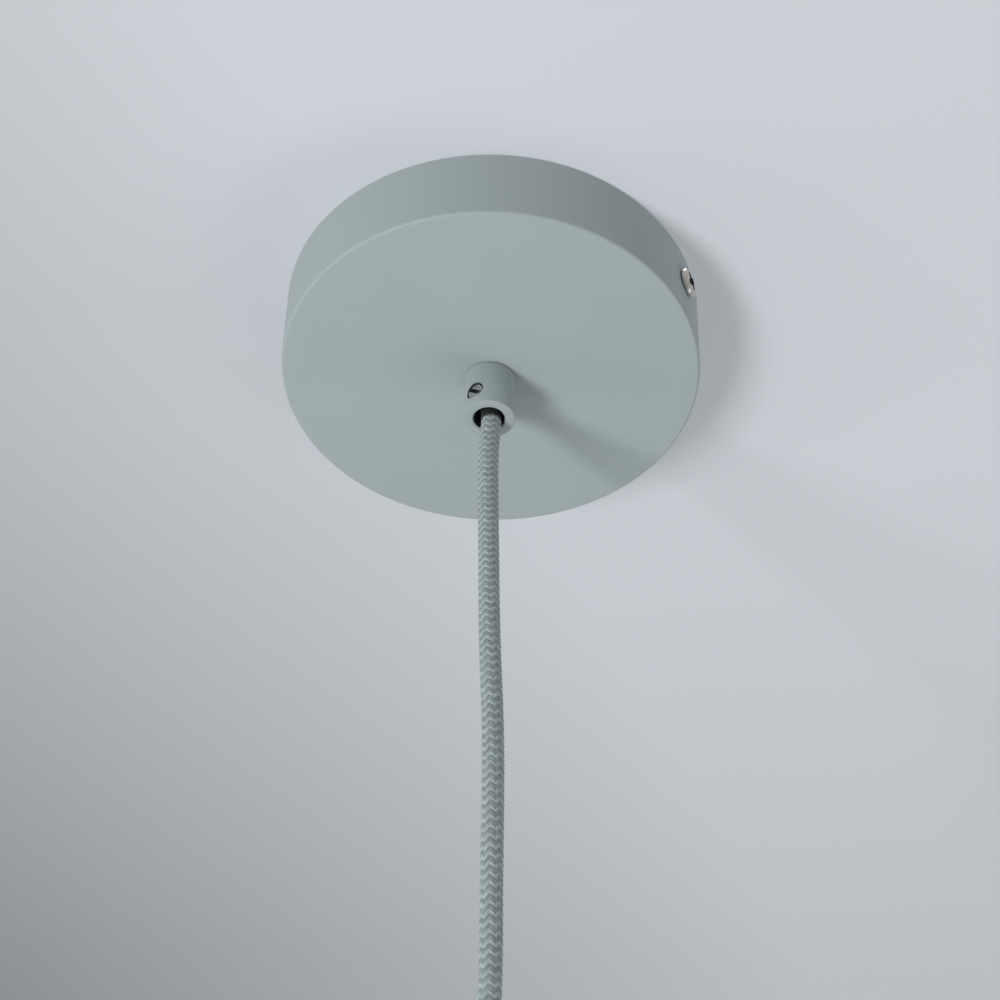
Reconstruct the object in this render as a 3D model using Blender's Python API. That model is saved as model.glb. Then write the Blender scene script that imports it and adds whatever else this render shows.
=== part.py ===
"""Pendant light: ceiling canopy, cord grip, fabric-covered cord and lamp holder.

Metres, +Z up. The origin is the centre of the canopy's ceiling plane. The two side screws lie on the X axis,
and everything hangs below z = 0.
"""

import math

import bmesh
import bpy
from mathutils import Matrix, Vector

# Clearances
GAP = 0.0003  # between faces that seat on each other
HOLE_CLEARANCE = 0.0003  # radial, between a shank and its hole
OVERSHOOT = 0.001  # how far a cutter runs past the face that it opens

# Canopy cup, drawn from steel sheet
CANOPY_DIAMETER = 0.120
CANOPY_HEIGHT = 0.0252  # ceiling plane to the edge of the bottom face
CANOPY_CROWN = 0.0022  # how far the middle of the bottom face stands below its edge
CANOPY_WALL = 0.0012
CANOPY_EDGE_RADIUS = 0.0010
CANOPY_SEGMENTS = 56
CANOPY_FACE_RINGS = 4  # rings of faces across the crowned bottom

# Recess in a screw's head, as shares of the head's diameter and height
RECESS_WIDTH = 0.13
CROSS_RECESS_LENGTH = 0.58
RECESS_FLOOR = 0.45
HEAD_RIM = 0.35  # upright rim below the dome

# Side screws, M4 pan head
SIDE_SCREW_DIAMETER = 0.004
SIDE_SCREW_LENGTH = 0.008
SIDE_SCREW_HEAD_DIAMETER = 0.0082
SIDE_SCREW_HEAD_HEIGHT = 0.0025
SIDE_SCREW_DROP = 0.0110  # axis below the ceiling plane

# Ceiling bracket, folded from steel strip
BRACKET_WIDTH = 0.016
BRACKET_THICKNESS = 0.002
BRACKET_EAR_DROP = 0.0185
BRACKET_BEND_RADIUS = 0.0015  # inside of the fold
BRACKET_EAR_CORNER = 0.003
CEILING_SLOT_WIDTH = 0.0055
CEILING_SLOT_LENGTH = 0.013
CEILING_SLOT_INSET = 0.0139  # from the ear's outer face to the slot's centre

# Earth point on the bracket
EARTH_SCREW_X = -0.0170
EARTH_SCREW_DIAMETER = 0.004
EARTH_SCREW_HEAD_DIAMETER = 0.0072
EARTH_SCREW_HEAD_HEIGHT = 0.0026
EARTH_WASHER_DIAMETER = 0.009
EARTH_WASHER_THICKNESS = 0.0008

# Ring terminals
RING_DIAMETER = 0.0080
RING_THICKNESS = 0.0008
RING_BARREL_START = 0.0056  # from the ring's centre
RING_BARREL_LENGTH = 0.0060
RING_BARREL_WALL = 0.0006
RING_NECK = 0.6  # the tongue's width inside the barrel, as a share of the barrel's
RING_TONGUE_BITE = 0.0018  # how far the tongue reaches into the barrel
RING_FAN_ANGLE = math.radians(27)  # either side of the X axis

# Terminal block
BLOCK_X = 0.0250  # its centre
BLOCK_DEPTH = 0.0170  # along X, the way the wires run
BLOCK_BASE_HEIGHT = 0.0078
BLOCK_EDGE = 0.0006
BLOCK_TOWER_DIAMETER = 0.0062
BLOCK_TOWER_HEIGHT = 0.0042
BLOCK_TOWER_REACH = 0.0046  # tower axis from the block's centre line
POLE_PITCH = 0.0092
POLE_NAMES = ("live", "neutral", "earth")
BARREL_DIAMETER = 0.0050
BARREL_BORE = 0.0034
BARREL_RECESS = 0.0012  # barrel end inside the block's face
CLAMP_SCREW_DIAMETER = 0.0025
CLAMP_SCREW_SUNK = 0.0005  # screw top below the tower's rim
CLAMP_SLOT_WIDTH = 0.0005
CLAMP_SLOT_DEPTH = 0.0007
BLOCK_SCREW_DIAMETER = 0.0025
BLOCK_SCREW_HEAD_DIAMETER = 0.0047
BLOCK_SCREW_HEAD_HEIGHT = 0.0018

# Cord grip, the same on the canopy and on the lamp holder
GRIP_DIAMETER = 0.0146
GRIP_LENGTH = 0.0160
GRIP_MOUTH_BORE = 0.0089
GRIP_MOUTH_DEPTH = 0.0105
GRIP_THROAT_CLEARANCE = 0.0004  # radial, round the cord
GRIP_MOUTH_CHAMFER = 0.0002
GRIP_SEGMENTS = 28
STUB_DIAMETER = 0.010  # M10x1
STUB_LENGTH = 0.0090
STUB_CHAMFER = 0.0005
GRUB_DIAMETER = 0.0050  # M5
GRUB_RISE = 0.0057  # its axis from the grip's mouth
GRUB_SUNK = 0.0006  # below the grip's round side
GRUB_CHAMFER = 0.0004
GRUB_TIP_CLEARANCE = 0.0004  # between its tip and the cord
GRUB_SLOT_WIDTH = 0.0008
GRUB_SLOT_DEPTH = 0.0009
CANOPY_GRUB_ANGLE = math.radians(-104)
HOLDER_GRUB_ANGLE = math.radians(-104)

# Nut and toothed washer on the grip's stub
NUT_ACROSS_FLATS = 0.0140
NUT_HEIGHT = 0.0030
NUT_FACE_MARGIN = 0.0001  # how far the round of the nut's face stays inside its flats
NUT_CHAMFER_ANGLE = math.radians(30)
WASHER_DIAMETER = 0.0160
WASHER_THICKNESS = 0.0008
WASHER_TEETH = 12
WASHER_TOOTH_DEPTH = 0.0012
TOOTH_SHARE = 0.49  # share of the pitch that a tooth takes

# Cord
CORD_DIAMETER = 0.0058
CORD_TOP = -0.0125  # end of the sleeve inside the canopy
CORD_STEP = 0.0135  # between points of the tube
SWAY_ANGLE = math.radians(24)  # direction of the cord's slight sway, from +X
# Height below the ceiling, sideways sway and sway square to it, of the route's points. The grub screw pushes the
# cord across the grip's mouth. The last three points lie in the holder's grip.
CORD_ROUTE = (
    (-0.0125, 0.0, 0.0),
    (-0.0300, 0.0, 0.0),
    (-0.0338, 0.00005, 0.00005),
    (-0.0435, 0.0006, 0.0009),
    (-0.0510, 0.0003, 0.0012),
    (-0.0620, 0.0002, 0.0013),
    (-0.0920, 0.0010, 0.0011),
    (-0.1240, 0.0020, 0.0008),
    (-0.1560, 0.0035, 0.0004),
    (-0.1780, 0.0040, 0.0001),
    (-0.2040, 0.00425, 0.0),
    (-0.2360, 0.0046, 0.0),
    (-0.2640, 0.0036, 0.0),
    (-0.2920, 0.0014, 0.0),
    (-0.3150, 0.0, 0.0),
    (-0.3300, 0.0, 0.0),
    (-0.3515, 0.0, 0.0),
)
COLLAR_LENGTH = 0.0055
COLLAR_WALL = 0.0006

# Insulated cores
CORE_DIAMETER = 0.0023
CORE_LAY_RADIUS = 0.00152  # core axis from the cord's axis
CORE_ENTRY = 0.0008  # how far a core reaches into its terminal
EARTH_CORE_DIP = 0.0034  # how far the holder's earth core hangs below the cord's end

# Lamp holder
HOLDER_CORD_REACH = 0.0315  # from the mouth of its cord grip to the cord's end
SHELL_WALL = 0.0012
SHELL_CLEARANCE = 0.0018  # radial, round the socket
SHELL_SKIRT = 0.0012  # how far its rim stands below the socket
SHELL_SHOULDER_RADIUS = 0.0030
SHELL_SEGMENTS = 40

# Stirrup between the holder's top and its socket
STIRRUP_WIDTH = 0.0110
STIRRUP_THICKNESS = 0.0015
STIRRUP_HEIGHT = 0.0220
STIRRUP_FOOT = 0.0062  # foot beyond the leg
STIRRUP_SCREW_INSET = 0.0039  # screw axis inside the socket's round side
STIRRUP_SCREW_DIAMETER = 0.003
STIRRUP_SCREW_LENGTH = 0.0065
STIRRUP_SCREW_HEAD_DIAMETER = 0.0052
STIRRUP_SCREW_HEAD_HEIGHT = 0.0020

# Rolled screw shell, E27
THREAD_MAJOR = 0.02665  # inside diameter at the grooves
THREAD_DEPTH = 0.001125  # from groove to crest
THREAD_PITCH = 0.00362
THREAD_SHEET = 0.0004
THREAD_LENGTH = 0.0200
THREAD_SEGMENTS = 24
ROWS_PER_PITCH = 6

# Moulded socket body
SOCKET_WALL = 0.0057
SOCKET_BORE_CLEARANCE = 0.0006  # radial, round the screw shell
SOCKET_BORE_DEPTH = 0.0275
SOCKET_FLOOR_THICKNESS = 0.0065
SOCKET_EDGE = 0.0012
SOCKET_SEGMENTS = 36

# Rivets through the socket's floor
RIVET_DIAMETER = 0.0024
RIVET_HEAD_DIAMETER = 0.0034
RIVET_HEAD_HEIGHT = 0.0007
RIVET_HEAD_FLAT = 0.6  # flat share of the head
RIVET_OUTER_MARGIN = 0.00086  # from the neutral rivet's head to the screw shell's wall
RIVET_INNER_MARGIN = 0.0003  # from the same head to the flange's bore

# Centre contact
CONTACT_DROP = 0.0042  # tip below the bore's floor
CONTACT_WIDTH = 0.0050
CONTACT_THICKNESS = 0.0005
CONTACT_TIP = 0.0022  # half the length of its level tip
CONTACT_CLEARANCE = 0.0005  # from its corners to the flange's bore

# Socket terminals, brass, on top of the body
SOCKET_TERMINAL_WIDTH = 0.0058
SOCKET_TERMINAL_FOOT = 0.0010
SOCKET_TERMINAL_INNER = 0.0044  # foot's inner end from the axis
SOCKET_TERMINAL_BLOCK_INNER = 0.0088
SOCKET_TERMINAL_OUTER = 0.0150
SOCKET_TERMINAL_HEIGHT = 0.0058
SOCKET_TERMINAL_WALL = 0.0010  # behind the wire's bore
SOCKET_TERMINAL_BORE = 0.0029
SOCKET_TERMINAL_ANGLES = {"live": math.radians(-130), "neutral": math.radians(-50)}
SOCKET_CLAMP_HEAD_DIAMETER = 0.0044
SOCKET_CLAMP_HEAD_HEIGHT = 0.0016

# Earth tag under the holder's nut
TAG_DROP_REACH = 0.0118  # barrel axis from the holder's axis
TAG_TONGUE_WIDTH = 0.0040

# Worked-out places
CANOPY_RADIUS = CANOPY_DIAMETER / 2
CANOPY_INNER_RADIUS = CANOPY_RADIUS - CANOPY_WALL
GRIP_SEAT = -(CANOPY_HEIGHT + CANOPY_CROWN)
CANOPY_GRIP_TOP = GRIP_SEAT - GAP
STUB_HOLE_RADIUS = STUB_DIAMETER / 2 + HOLE_CLEARANCE
BRACKET_EAR_X = math.sqrt(CANOPY_INNER_RADIUS**2 - (BRACKET_WIDTH / 2) ** 2) - GAP
CEILING_SLOT_CENTRE = BRACKET_EAR_X - CEILING_SLOT_INSET
CORE_RADIUS = CORE_DIAMETER / 2
THROAT_RADIUS = CORD_DIAMETER / 2 + GRIP_THROAT_CLEARANCE
CORD_BOTTOM = CORD_ROUTE[-1][0]
BARREL_Z = -(BRACKET_THICKNESS + GAP + BLOCK_BASE_HEIGHT / 2)
RING_BARREL_RADIUS = CORE_RADIUS + HOLE_CLEARANCE + RING_BARREL_WALL
HOLDER_MOUTH = CORD_BOTTOM + HOLDER_CORD_REACH
HOLDER_SEAT = HOLDER_MOUTH - GRIP_LENGTH
SHELL_TOP = HOLDER_SEAT - GAP
STIRRUP_TOP = SHELL_TOP - SHELL_WALL - GAP
SOCKET_TOP = STIRRUP_TOP - STIRRUP_HEIGHT - GAP
SOCKET_FLOOR = SOCKET_TOP - SOCKET_FLOOR_THICKNESS
SOCKET_BOTTOM = SOCKET_FLOOR - SOCKET_BORE_DEPTH
SOCKET_BORE_RADIUS = THREAD_MAJOR / 2 + THREAD_SHEET + SOCKET_BORE_CLEARANCE
SOCKET_RADIUS = SOCKET_BORE_RADIUS + SOCKET_WALL
SHELL_RADIUS = SOCKET_RADIUS + SHELL_CLEARANCE + SHELL_WALL
SHELL_BOTTOM = SOCKET_BOTTOM - SHELL_SKIRT
STIRRUP_SCREW_X = SOCKET_RADIUS - STIRRUP_SCREW_INSET
STIRRUP_SCREW_SEAT = SOCKET_TOP + GAP + STIRRUP_THICKNESS + GAP
THREAD_MID_RADIUS = (THREAD_MAJOR - THREAD_DEPTH) / 2
NEUTRAL_RIVET_REACH = THREAD_MID_RADIUS - RIVET_OUTER_MARGIN - RIVET_HEAD_DIAMETER / 2
FLANGE_BORE_RADIUS = NEUTRAL_RIVET_REACH - RIVET_HEAD_DIAMETER / 2 - RIVET_INNER_MARGIN
CONTACT_TAIL = math.sqrt((FLANGE_BORE_RADIUS - CONTACT_CLEARANCE) ** 2 - (CONTACT_WIDTH / 2) ** 2)
LIVE_RIVET_REACH = CONTACT_TAIL - RIVET_HEAD_DIAMETER / 2

# Finishes: base colour, metallic, roughness
GREY_PAINT = ((0.36, 0.41, 0.40), 0.0, 0.55)
PLATED_STEEL = ((0.62, 0.62, 0.60), 1.0, 0.32)
NICKEL = ((0.68, 0.65, 0.60), 1.0, 0.20)
BRASS = ((0.78, 0.57, 0.28), 1.0, 0.30)
WHITE_NYLON = ((0.80, 0.80, 0.77), 0.0, 0.50)
MOULDED_WHITE = ((0.86, 0.85, 0.81), 0.0, 0.25)
BROWN_PVC = ((0.16, 0.06, 0.03), 0.0, 0.45)
BLUE_PVC = ((0.03, 0.12, 0.42), 0.0, 0.45)
GREEN_YELLOW_PVC = ((0.30, 0.50, 0.06), 0.0, 0.45)
GREY_TEXTILE = ((0.27, 0.31, 0.31), 0.0, 0.85)
BLACK_SLEEVE = ((0.03, 0.03, 0.03), 0.0, 0.55)


def clear_scene():
    """Remove every object that the file opened with."""
    for obj in list(bpy.data.objects):
        bpy.data.objects.remove(obj, do_unlink=True)


def dress(obj, finish):
    """Give an object its own Principled material."""
    colour, metallic, roughness = finish
    material = bpy.data.materials.new(obj.name + "_finish")
    material.use_nodes = True
    shader = material.node_tree.nodes["Principled BSDF"]
    shader.inputs["Base Color"].default_value = (*colour, 1.0)
    shader.inputs["Metallic"].default_value = metallic
    shader.inputs["Roughness"].default_value = roughness
    material.diffuse_color = (*colour, 1.0)
    obj.data.materials.append(material)


def add_mesh(name, bm, finish=None, sharp=math.radians(35)):
    """Turn a bmesh into an object of the scene, with outward faces and smooth round sides."""
    bmesh.ops.recalc_face_normals(bm, faces=bm.faces)
    mesh = bpy.data.meshes.new(name)
    bm.to_mesh(mesh)
    bm.free()
    mesh.shade_smooth()
    mesh.set_sharp_from_angle(angle=sharp)
    obj = bpy.data.objects.new(name, mesh)
    bpy.context.scene.collection.objects.link(obj)
    if finish:
        dress(obj, finish)
    return obj


def add_assembly(name, parent=None):
    """An empty that carries the pieces of one sub-assembly."""
    empty = bpy.data.objects.new(name, None)
    bpy.context.scene.collection.objects.link(empty)
    empty.parent = parent
    return empty


def cut(obj, cutter, operation="DIFFERENCE"):
    """Boolean a helper into an object and hide the helper."""
    modifier = obj.modifiers.new(cutter.name, "BOOLEAN")
    modifier.operation = operation
    modifier.object = cutter
    cutter.hide_render = True
    cutter.display_type = "WIRE"
    if cutter.parent is None:
        cutter.parent = obj.parent
    return obj


def turned_mesh(profile, segments):
    """Revolve a (radius, height) outline about Z. It is closed, or open with both ends on the axis."""
    on_axis = profile[0][0] == 0 and profile[-1][0] == 0
    bm = bmesh.new()
    ring = [bm.verts.new((radius, 0, height)) for radius, height in profile]
    pairs = list(zip(ring, ring[1:]))
    if not on_axis:
        pairs.append((ring[-1], ring[0]))
    edges = [bm.edges.new(pair) for pair in pairs]
    bmesh.ops.spin(bm, geom=ring + edges, axis=(0, 0, 1), cent=(0, 0, 0), angle=math.tau, steps=segments)
    bmesh.ops.remove_doubles(bm, verts=bm.verts, dist=1e-6)
    return bm


def turned(name, profile, segments, finish=None):
    """Object revolved from a (radius, height) outline."""
    return add_mesh(name, turned_mesh(profile, segments), finish)


def arc(centre, radius, start, end, steps):
    """Points of an arc in the outline's plane, angles in degrees."""
    points = []
    for step in range(steps + 1):
        angle = math.radians(start + (end - start) * step / steps)
        points.append((centre[0] + radius * math.cos(angle), centre[1] + radius * math.sin(angle)))
    return points


def prism_mesh(outline, low, high):
    """Extrude a flat outline of (x, y) points from one height to another."""
    bm = bmesh.new()
    base = bm.faces.new([bm.verts.new((x, y, low)) for x, y in outline])
    side = bmesh.ops.extrude_face_region(bm, geom=[base])
    lifted = [item for item in side["geom"] if isinstance(item, bmesh.types.BMVert)]
    bmesh.ops.translate(bm, verts=lifted, vec=(0, 0, high - low))
    return bm


def box_mesh(low, high, bevel=0.0):
    """Box between two corners, with its edges rounded if asked."""
    outline = [(low[0], low[1]), (high[0], low[1]), (high[0], high[1]), (low[0], high[1])]
    bm = prism_mesh(outline, low[2], high[2])
    if bevel:
        bmesh.ops.bevel(bm, geom=list(bm.edges), offset=bevel, segments=2, profile=0.5, affect="EDGES")
    return bm


def slot_outline(length, width, steps=6):
    """Outline of a slot with round ends, long way along X."""
    reach = (length - width) / 2
    return arc((reach, 0), width / 2, -90, 90, steps) + arc((-reach, 0), width / 2, 90, 270, steps)


def cross_outline(length, width):
    """Outline of a cross recess."""
    a, b = length / 2, width / 2
    return [
        (a, -b), (a, b), (b, b), (b, a), (-b, a), (-b, b),
        (-a, b), (-a, -b), (-b, -b), (-b, -a), (b, -a), (b, -b),
    ]


def drill(name, radius, start, end, segments=16):
    """Round cutter between two points."""
    start, end = Vector(start), Vector(end)
    length = (end - start).length
    obj = turned(name, [(0, 0), (radius, 0), (radius, length), (0, length)], segments)
    obj.location = start
    obj.rotation_mode = "QUATERNION"
    obj.rotation_quaternion = (end - start).to_track_quat("Z", "Y")
    return obj


def smooth_route(points, step):
    """Points every `step` or so along a smooth curve through the given ones."""
    points = [Vector(point) for point in points]
    padded = [2 * points[0] - points[1], *points, 2 * points[-1] - points[-2]]
    route = [points[0]]
    for before, start, end, after in zip(padded, padded[1:], padded[2:], padded[3:]):
        count = max(1, round((end - start).length / step))
        for index in range(1, count + 1):
            t = index / count
            route.append(
                0.5
                * (
                    2 * start
                    + (end - before) * t
                    + (2 * before - 5 * start + 4 * end - after) * t**2
                    + (3 * start - before - 3 * end + after) * t**3
                )
            )
    return route


def tube(name, points, diameter, finish, fineness=2):
    """Round tube along a chain of points, with closed ends."""
    curve = bpy.data.curves.new(name, "CURVE")
    curve.dimensions = "3D"
    curve.bevel_depth = diameter / 2
    curve.bevel_resolution = fineness
    curve.use_fill_caps = True
    spline = curve.splines.new("POLY")
    spline.points.add(len(points) - 1)
    for slot, point in zip(spline.points, points):
        slot.co = (*point, 1.0)
    obj = bpy.data.objects.new(name, curve)
    bpy.context.scene.collection.objects.link(obj)
    dress(obj, finish)
    return obj


def bend(start, start_way, end, end_way, steps=9, reach=0.45):
    """Smooth bend of a core from one point and direction to another."""
    start, end = Vector(start), Vector(end)
    pull = (end - start).length * reach
    first = start + Vector(start_way).normalized() * pull
    last = end - Vector(end_way).normalized() * pull
    points = []
    for step in range(steps + 1):
        t = step / steps
        u = 1 - t
        points.append(u**3 * start + 3 * u * u * t * first + 3 * u * t * t * last + t**3 * end)
    return points


def crown_height(radius):
    """Height of the canopy's bottom face at a radius."""
    flat_radius = CANOPY_RADIUS - CANOPY_EDGE_RADIUS
    return -CANOPY_HEIGHT - CANOPY_CROWN * (1 - (radius / flat_radius) ** 2)


def make_canopy_cup(parent):
    """The drawn cup: straight wall, tight edge, slightly crowned bottom, three holes."""
    rim = CANOPY_RADIUS - CANOPY_EDGE_RADIUS
    ring_width = (rim - STUB_HOLE_RADIUS) / CANOPY_FACE_RINGS
    radii = [rim - ring_width * ring for ring in range(CANOPY_FACE_RINGS + 1)]
    edge = arc((rim, -CANOPY_HEIGHT + CANOPY_EDGE_RADIUS), CANOPY_EDGE_RADIUS, 0, -90, 4)
    outside = [(CANOPY_RADIUS, 0)] + edge + [(r, crown_height(r)) for r in radii[1:]]
    inside = [(r, crown_height(r) + CANOPY_WALL) for r in reversed(radii[1:])]
    inside += [(CANOPY_INNER_RADIUS, -CANOPY_HEIGHT + CANOPY_WALL), (CANOPY_INNER_RADIUS, 0)]
    cup = turned("canopy_cup", outside + inside, CANOPY_SEGMENTS, GREY_PAINT)
    cup.parent = parent
    for side, sign in (("right", 1), ("left", -1)):
        hole = drill(
            f"canopy_hole_{side}",
            SIDE_SCREW_DIAMETER / 2 + HOLE_CLEARANCE,
            (sign * (CANOPY_INNER_RADIUS - CANOPY_WALL), 0, -SIDE_SCREW_DROP),
            (sign * (CANOPY_RADIUS + CANOPY_WALL), 0, -SIDE_SCREW_DROP),
        )
        cut(cup, hole)
    return cup


def screw_profile(diameter, length, head_diameter, head_height):
    """Outline of a domed-head screw, head up, its seat at height 0."""
    radius, head_radius = diameter / 2, head_diameter / 2
    chamfer = radius / 5
    rim = head_height * HEAD_RIM
    rise = head_height - rim
    dome = [(x * head_radius, rim + z * rise) for x, z in arc((0, 0), 1, 0, 90, 4)[:-1]]
    tip = [(0, -length), (radius - chamfer, -length), (radius, chamfer - length)]
    return tip + [(radius, 0), (head_radius, 0)] + dome + [(0, head_height)]


def make_screw(name, diameter, length, head_diameter, head_height, finish, recess="slot", segments=12):
    """Screw along its own Z, seat at the origin, with a cross or slot recess."""
    screw = turned(name, screw_profile(diameter, length, head_diameter, head_height), segments, finish)
    width = head_diameter * RECESS_WIDTH
    if recess == "cross":
        outline = cross_outline(head_diameter * CROSS_RECESS_LENGTH, width)
    else:
        a, b = head_diameter / 2 + OVERSHOOT, width / 2
        outline = [(-a, -b), (a, -b), (a, b), (-a, b)]
    recess_mesh = prism_mesh(outline, head_height * RECESS_FLOOR, head_height + OVERSHOOT)
    cutter = add_mesh(name + "_recess", recess_mesh)
    cutter.parent = screw
    return cut(screw, cutter)


def make_side_screws(parent):
    """Two screws through the cup into the bracket's ears."""
    for side, sign in (("right", 1), ("left", -1)):
        screw = make_screw(
            f"canopy_screw_{side}",
            SIDE_SCREW_DIAMETER,
            SIDE_SCREW_LENGTH,
            SIDE_SCREW_HEAD_DIAMETER,
            SIDE_SCREW_HEAD_HEIGHT,
            NICKEL,
            recess="cross",
            segments=20,
        )
        screw.location = (sign * (CANOPY_RADIUS + GAP), 0, -SIDE_SCREW_DROP)
        screw.rotation_euler = (0, sign * math.pi / 2, 0)
        screw.parent = parent


def folded_strip(name, outline, width, finish):
    """Strip folded to an outline in the XZ plane, its width along Y."""
    bm = prism_mesh(outline, -width / 2, width / 2)
    bmesh.ops.rotate(bm, verts=bm.verts, cent=(0, 0, 0), matrix=Matrix.Rotation(math.pi / 2, 3, "X"))
    return add_mesh(name, bm, finish)


def make_bracket(parent):
    """Strip with an ear folded down at each end, slots for the ceiling and threaded holes."""
    outer = BRACKET_BEND_RADIUS + BRACKET_THICKNESS
    bend_x = BRACKET_EAR_X - outer
    inner_x = BRACKET_EAR_X - BRACKET_THICKNESS
    right = [(BRACKET_EAR_X, -BRACKET_EAR_DROP)] + arc((bend_x, -outer), outer, 0, 90, 4)
    left = [(-x, z) for x, z in reversed(right)]
    back = arc((-bend_x, -outer), BRACKET_BEND_RADIUS, 180, 90, 4)
    back = [(-inner_x, -BRACKET_EAR_DROP)] + back
    forward = [(-x, z) for x, z in reversed(back)]
    bracket = folded_strip("ceiling_bracket", right + left + back + forward, BRACKET_WIDTH, PLATED_STEEL)
    bracket.parent = parent
    round_ear_corners(bracket.data)
    for side, sign in (("right", 1), ("left", -1)):
        outline = slot_outline(CEILING_SLOT_LENGTH, CEILING_SLOT_WIDTH)
        slot_mesh = prism_mesh(outline, -2 * BRACKET_THICKNESS, BRACKET_THICKNESS)
        slot = add_mesh(f"ceiling_slot_{side}", slot_mesh)
        slot.location = (sign * CEILING_SLOT_CENTRE, 0, 0)
        cut(bracket, slot)
        ear_hole = drill(
            f"ear_hole_{side}",
            SIDE_SCREW_DIAMETER / 2 + HOLE_CLEARANCE,
            (sign * (BRACKET_EAR_X - 2 * BRACKET_THICKNESS), 0, -SIDE_SCREW_DROP),
            (sign * (BRACKET_EAR_X + BRACKET_THICKNESS), 0, -SIDE_SCREW_DROP),
        )
        cut(bracket, ear_hole)
    for name, diameter, x, y in (
        ("earth_screw_hole", EARTH_SCREW_DIAMETER, EARTH_SCREW_X, 0),
        ("block_screw_hole", BLOCK_SCREW_DIAMETER, BLOCK_X, POLE_PITCH / 2),
    ):
        low, high = -2 * BRACKET_THICKNESS, BRACKET_THICKNESS
        cut(bracket, drill(name, diameter / 2 + HOLE_CLEARANCE, (x, y, low), (x, y, high), 12))


def round_ear_corners(mesh):
    """Round the two lower corners of each ear."""
    bm = bmesh.new()
    bm.from_mesh(mesh)
    corners = [
        edge
        for edge in bm.edges
        if all(abs(v.co.z + BRACKET_EAR_DROP) < 1e-5 for v in edge.verts)
        and abs(edge.verts[0].co.y - edge.verts[1].co.y) < 1e-6
    ]
    bmesh.ops.bevel(bm, geom=corners, offset=BRACKET_EAR_CORNER, segments=3, profile=0.5, affect="EDGES")
    bm.to_mesh(mesh)
    bm.free()


def make_ring_terminal(name, screw_diameter, finish):
    """Crimp terminal: a ring at the origin, its barrel along +X, hanging below the ring's top face."""
    hole = screw_diameter / 2 + HOLE_CLEARANCE
    reach = RING_BARREL_START + RING_TONGUE_BITE
    neck = RING_BARREL_RADIUS * RING_NECK
    spread = math.degrees(math.asin(RING_BARREL_RADIUS / (RING_DIAMETER / 2)))
    outline = arc((0, 0), RING_DIAMETER / 2, spread, 360 - spread, 16) + [(reach, -neck), (reach, neck)]
    plate = add_mesh(name, prism_mesh(outline, -RING_THICKNESS, 0), finish)
    bore, radius = CORE_RADIUS + HOLE_CLEARANCE, RING_BARREL_RADIUS
    end = RING_BARREL_LENGTH
    profile = [(0, 0), (radius, 0), (radius, end), (bore, end), (bore, end / 2), (0, end / 2)]
    barrel = turned(name + "_barrel", profile, 12)
    barrel.location = (RING_BARREL_START, 0, -RING_BARREL_RADIUS)
    barrel.rotation_euler = (0, math.pi / 2, 0)
    barrel.parent = plate
    cut(plate, barrel, "UNION")
    eye = drill(name + "_eye", hole, (0, 0, -2 * RING_THICKNESS), (0, 0, RING_THICKNESS), 12)
    eye.parent = plate
    return cut(plate, eye)


def ring_mouth(centre, angle):
    """Where a core enters a ring terminal's barrel, and the way it runs there."""
    way = Vector((-math.cos(angle), -math.sin(angle), 0))
    reach = RING_BARREL_START + RING_BARREL_LENGTH - CORE_ENTRY
    return Vector(centre) - reach * way - Vector((0, 0, RING_BARREL_RADIUS)), way


def make_earth_point(parent):
    """Two ring terminals, washer and screw under the bracket. Returns the terminals' mouths."""
    top = -BRACKET_THICKNESS - GAP
    mouths = {}
    for name, angle in (("earth_lead_terminal", RING_FAN_ANGLE), ("earth_core_terminal", -RING_FAN_ANGLE)):
        ring = make_ring_terminal(name, EARTH_SCREW_DIAMETER, PLATED_STEEL)
        ring.location = (EARTH_SCREW_X, 0, top)
        ring.rotation_euler = (0, 0, angle)
        ring.parent = parent
        mouths[name] = ring_mouth(ring.location, angle)
        top -= RING_THICKNESS + GAP
    hole = EARTH_SCREW_DIAMETER / 2 + HOLE_CLEARANCE
    low = top - EARTH_WASHER_THICKNESS
    outline = [(hole, low), (EARTH_WASHER_DIAMETER / 2, low), (EARTH_WASHER_DIAMETER / 2, top), (hole, top)]
    washer = turned("earth_washer", outline, 16, PLATED_STEEL)
    washer.location = (EARTH_SCREW_X, 0, 0)
    washer.parent = parent
    seat = low - GAP
    screw = make_screw(
        "earth_screw",
        EARTH_SCREW_DIAMETER,
        -seat - GAP,
        EARTH_SCREW_HEAD_DIAMETER,
        EARTH_SCREW_HEAD_HEIGHT,
        BRASS,
    )
    screw.location = (EARTH_SCREW_X, 0, seat)
    screw.rotation_euler = (math.pi, 0, 0)
    screw.parent = parent
    return mouths


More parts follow.
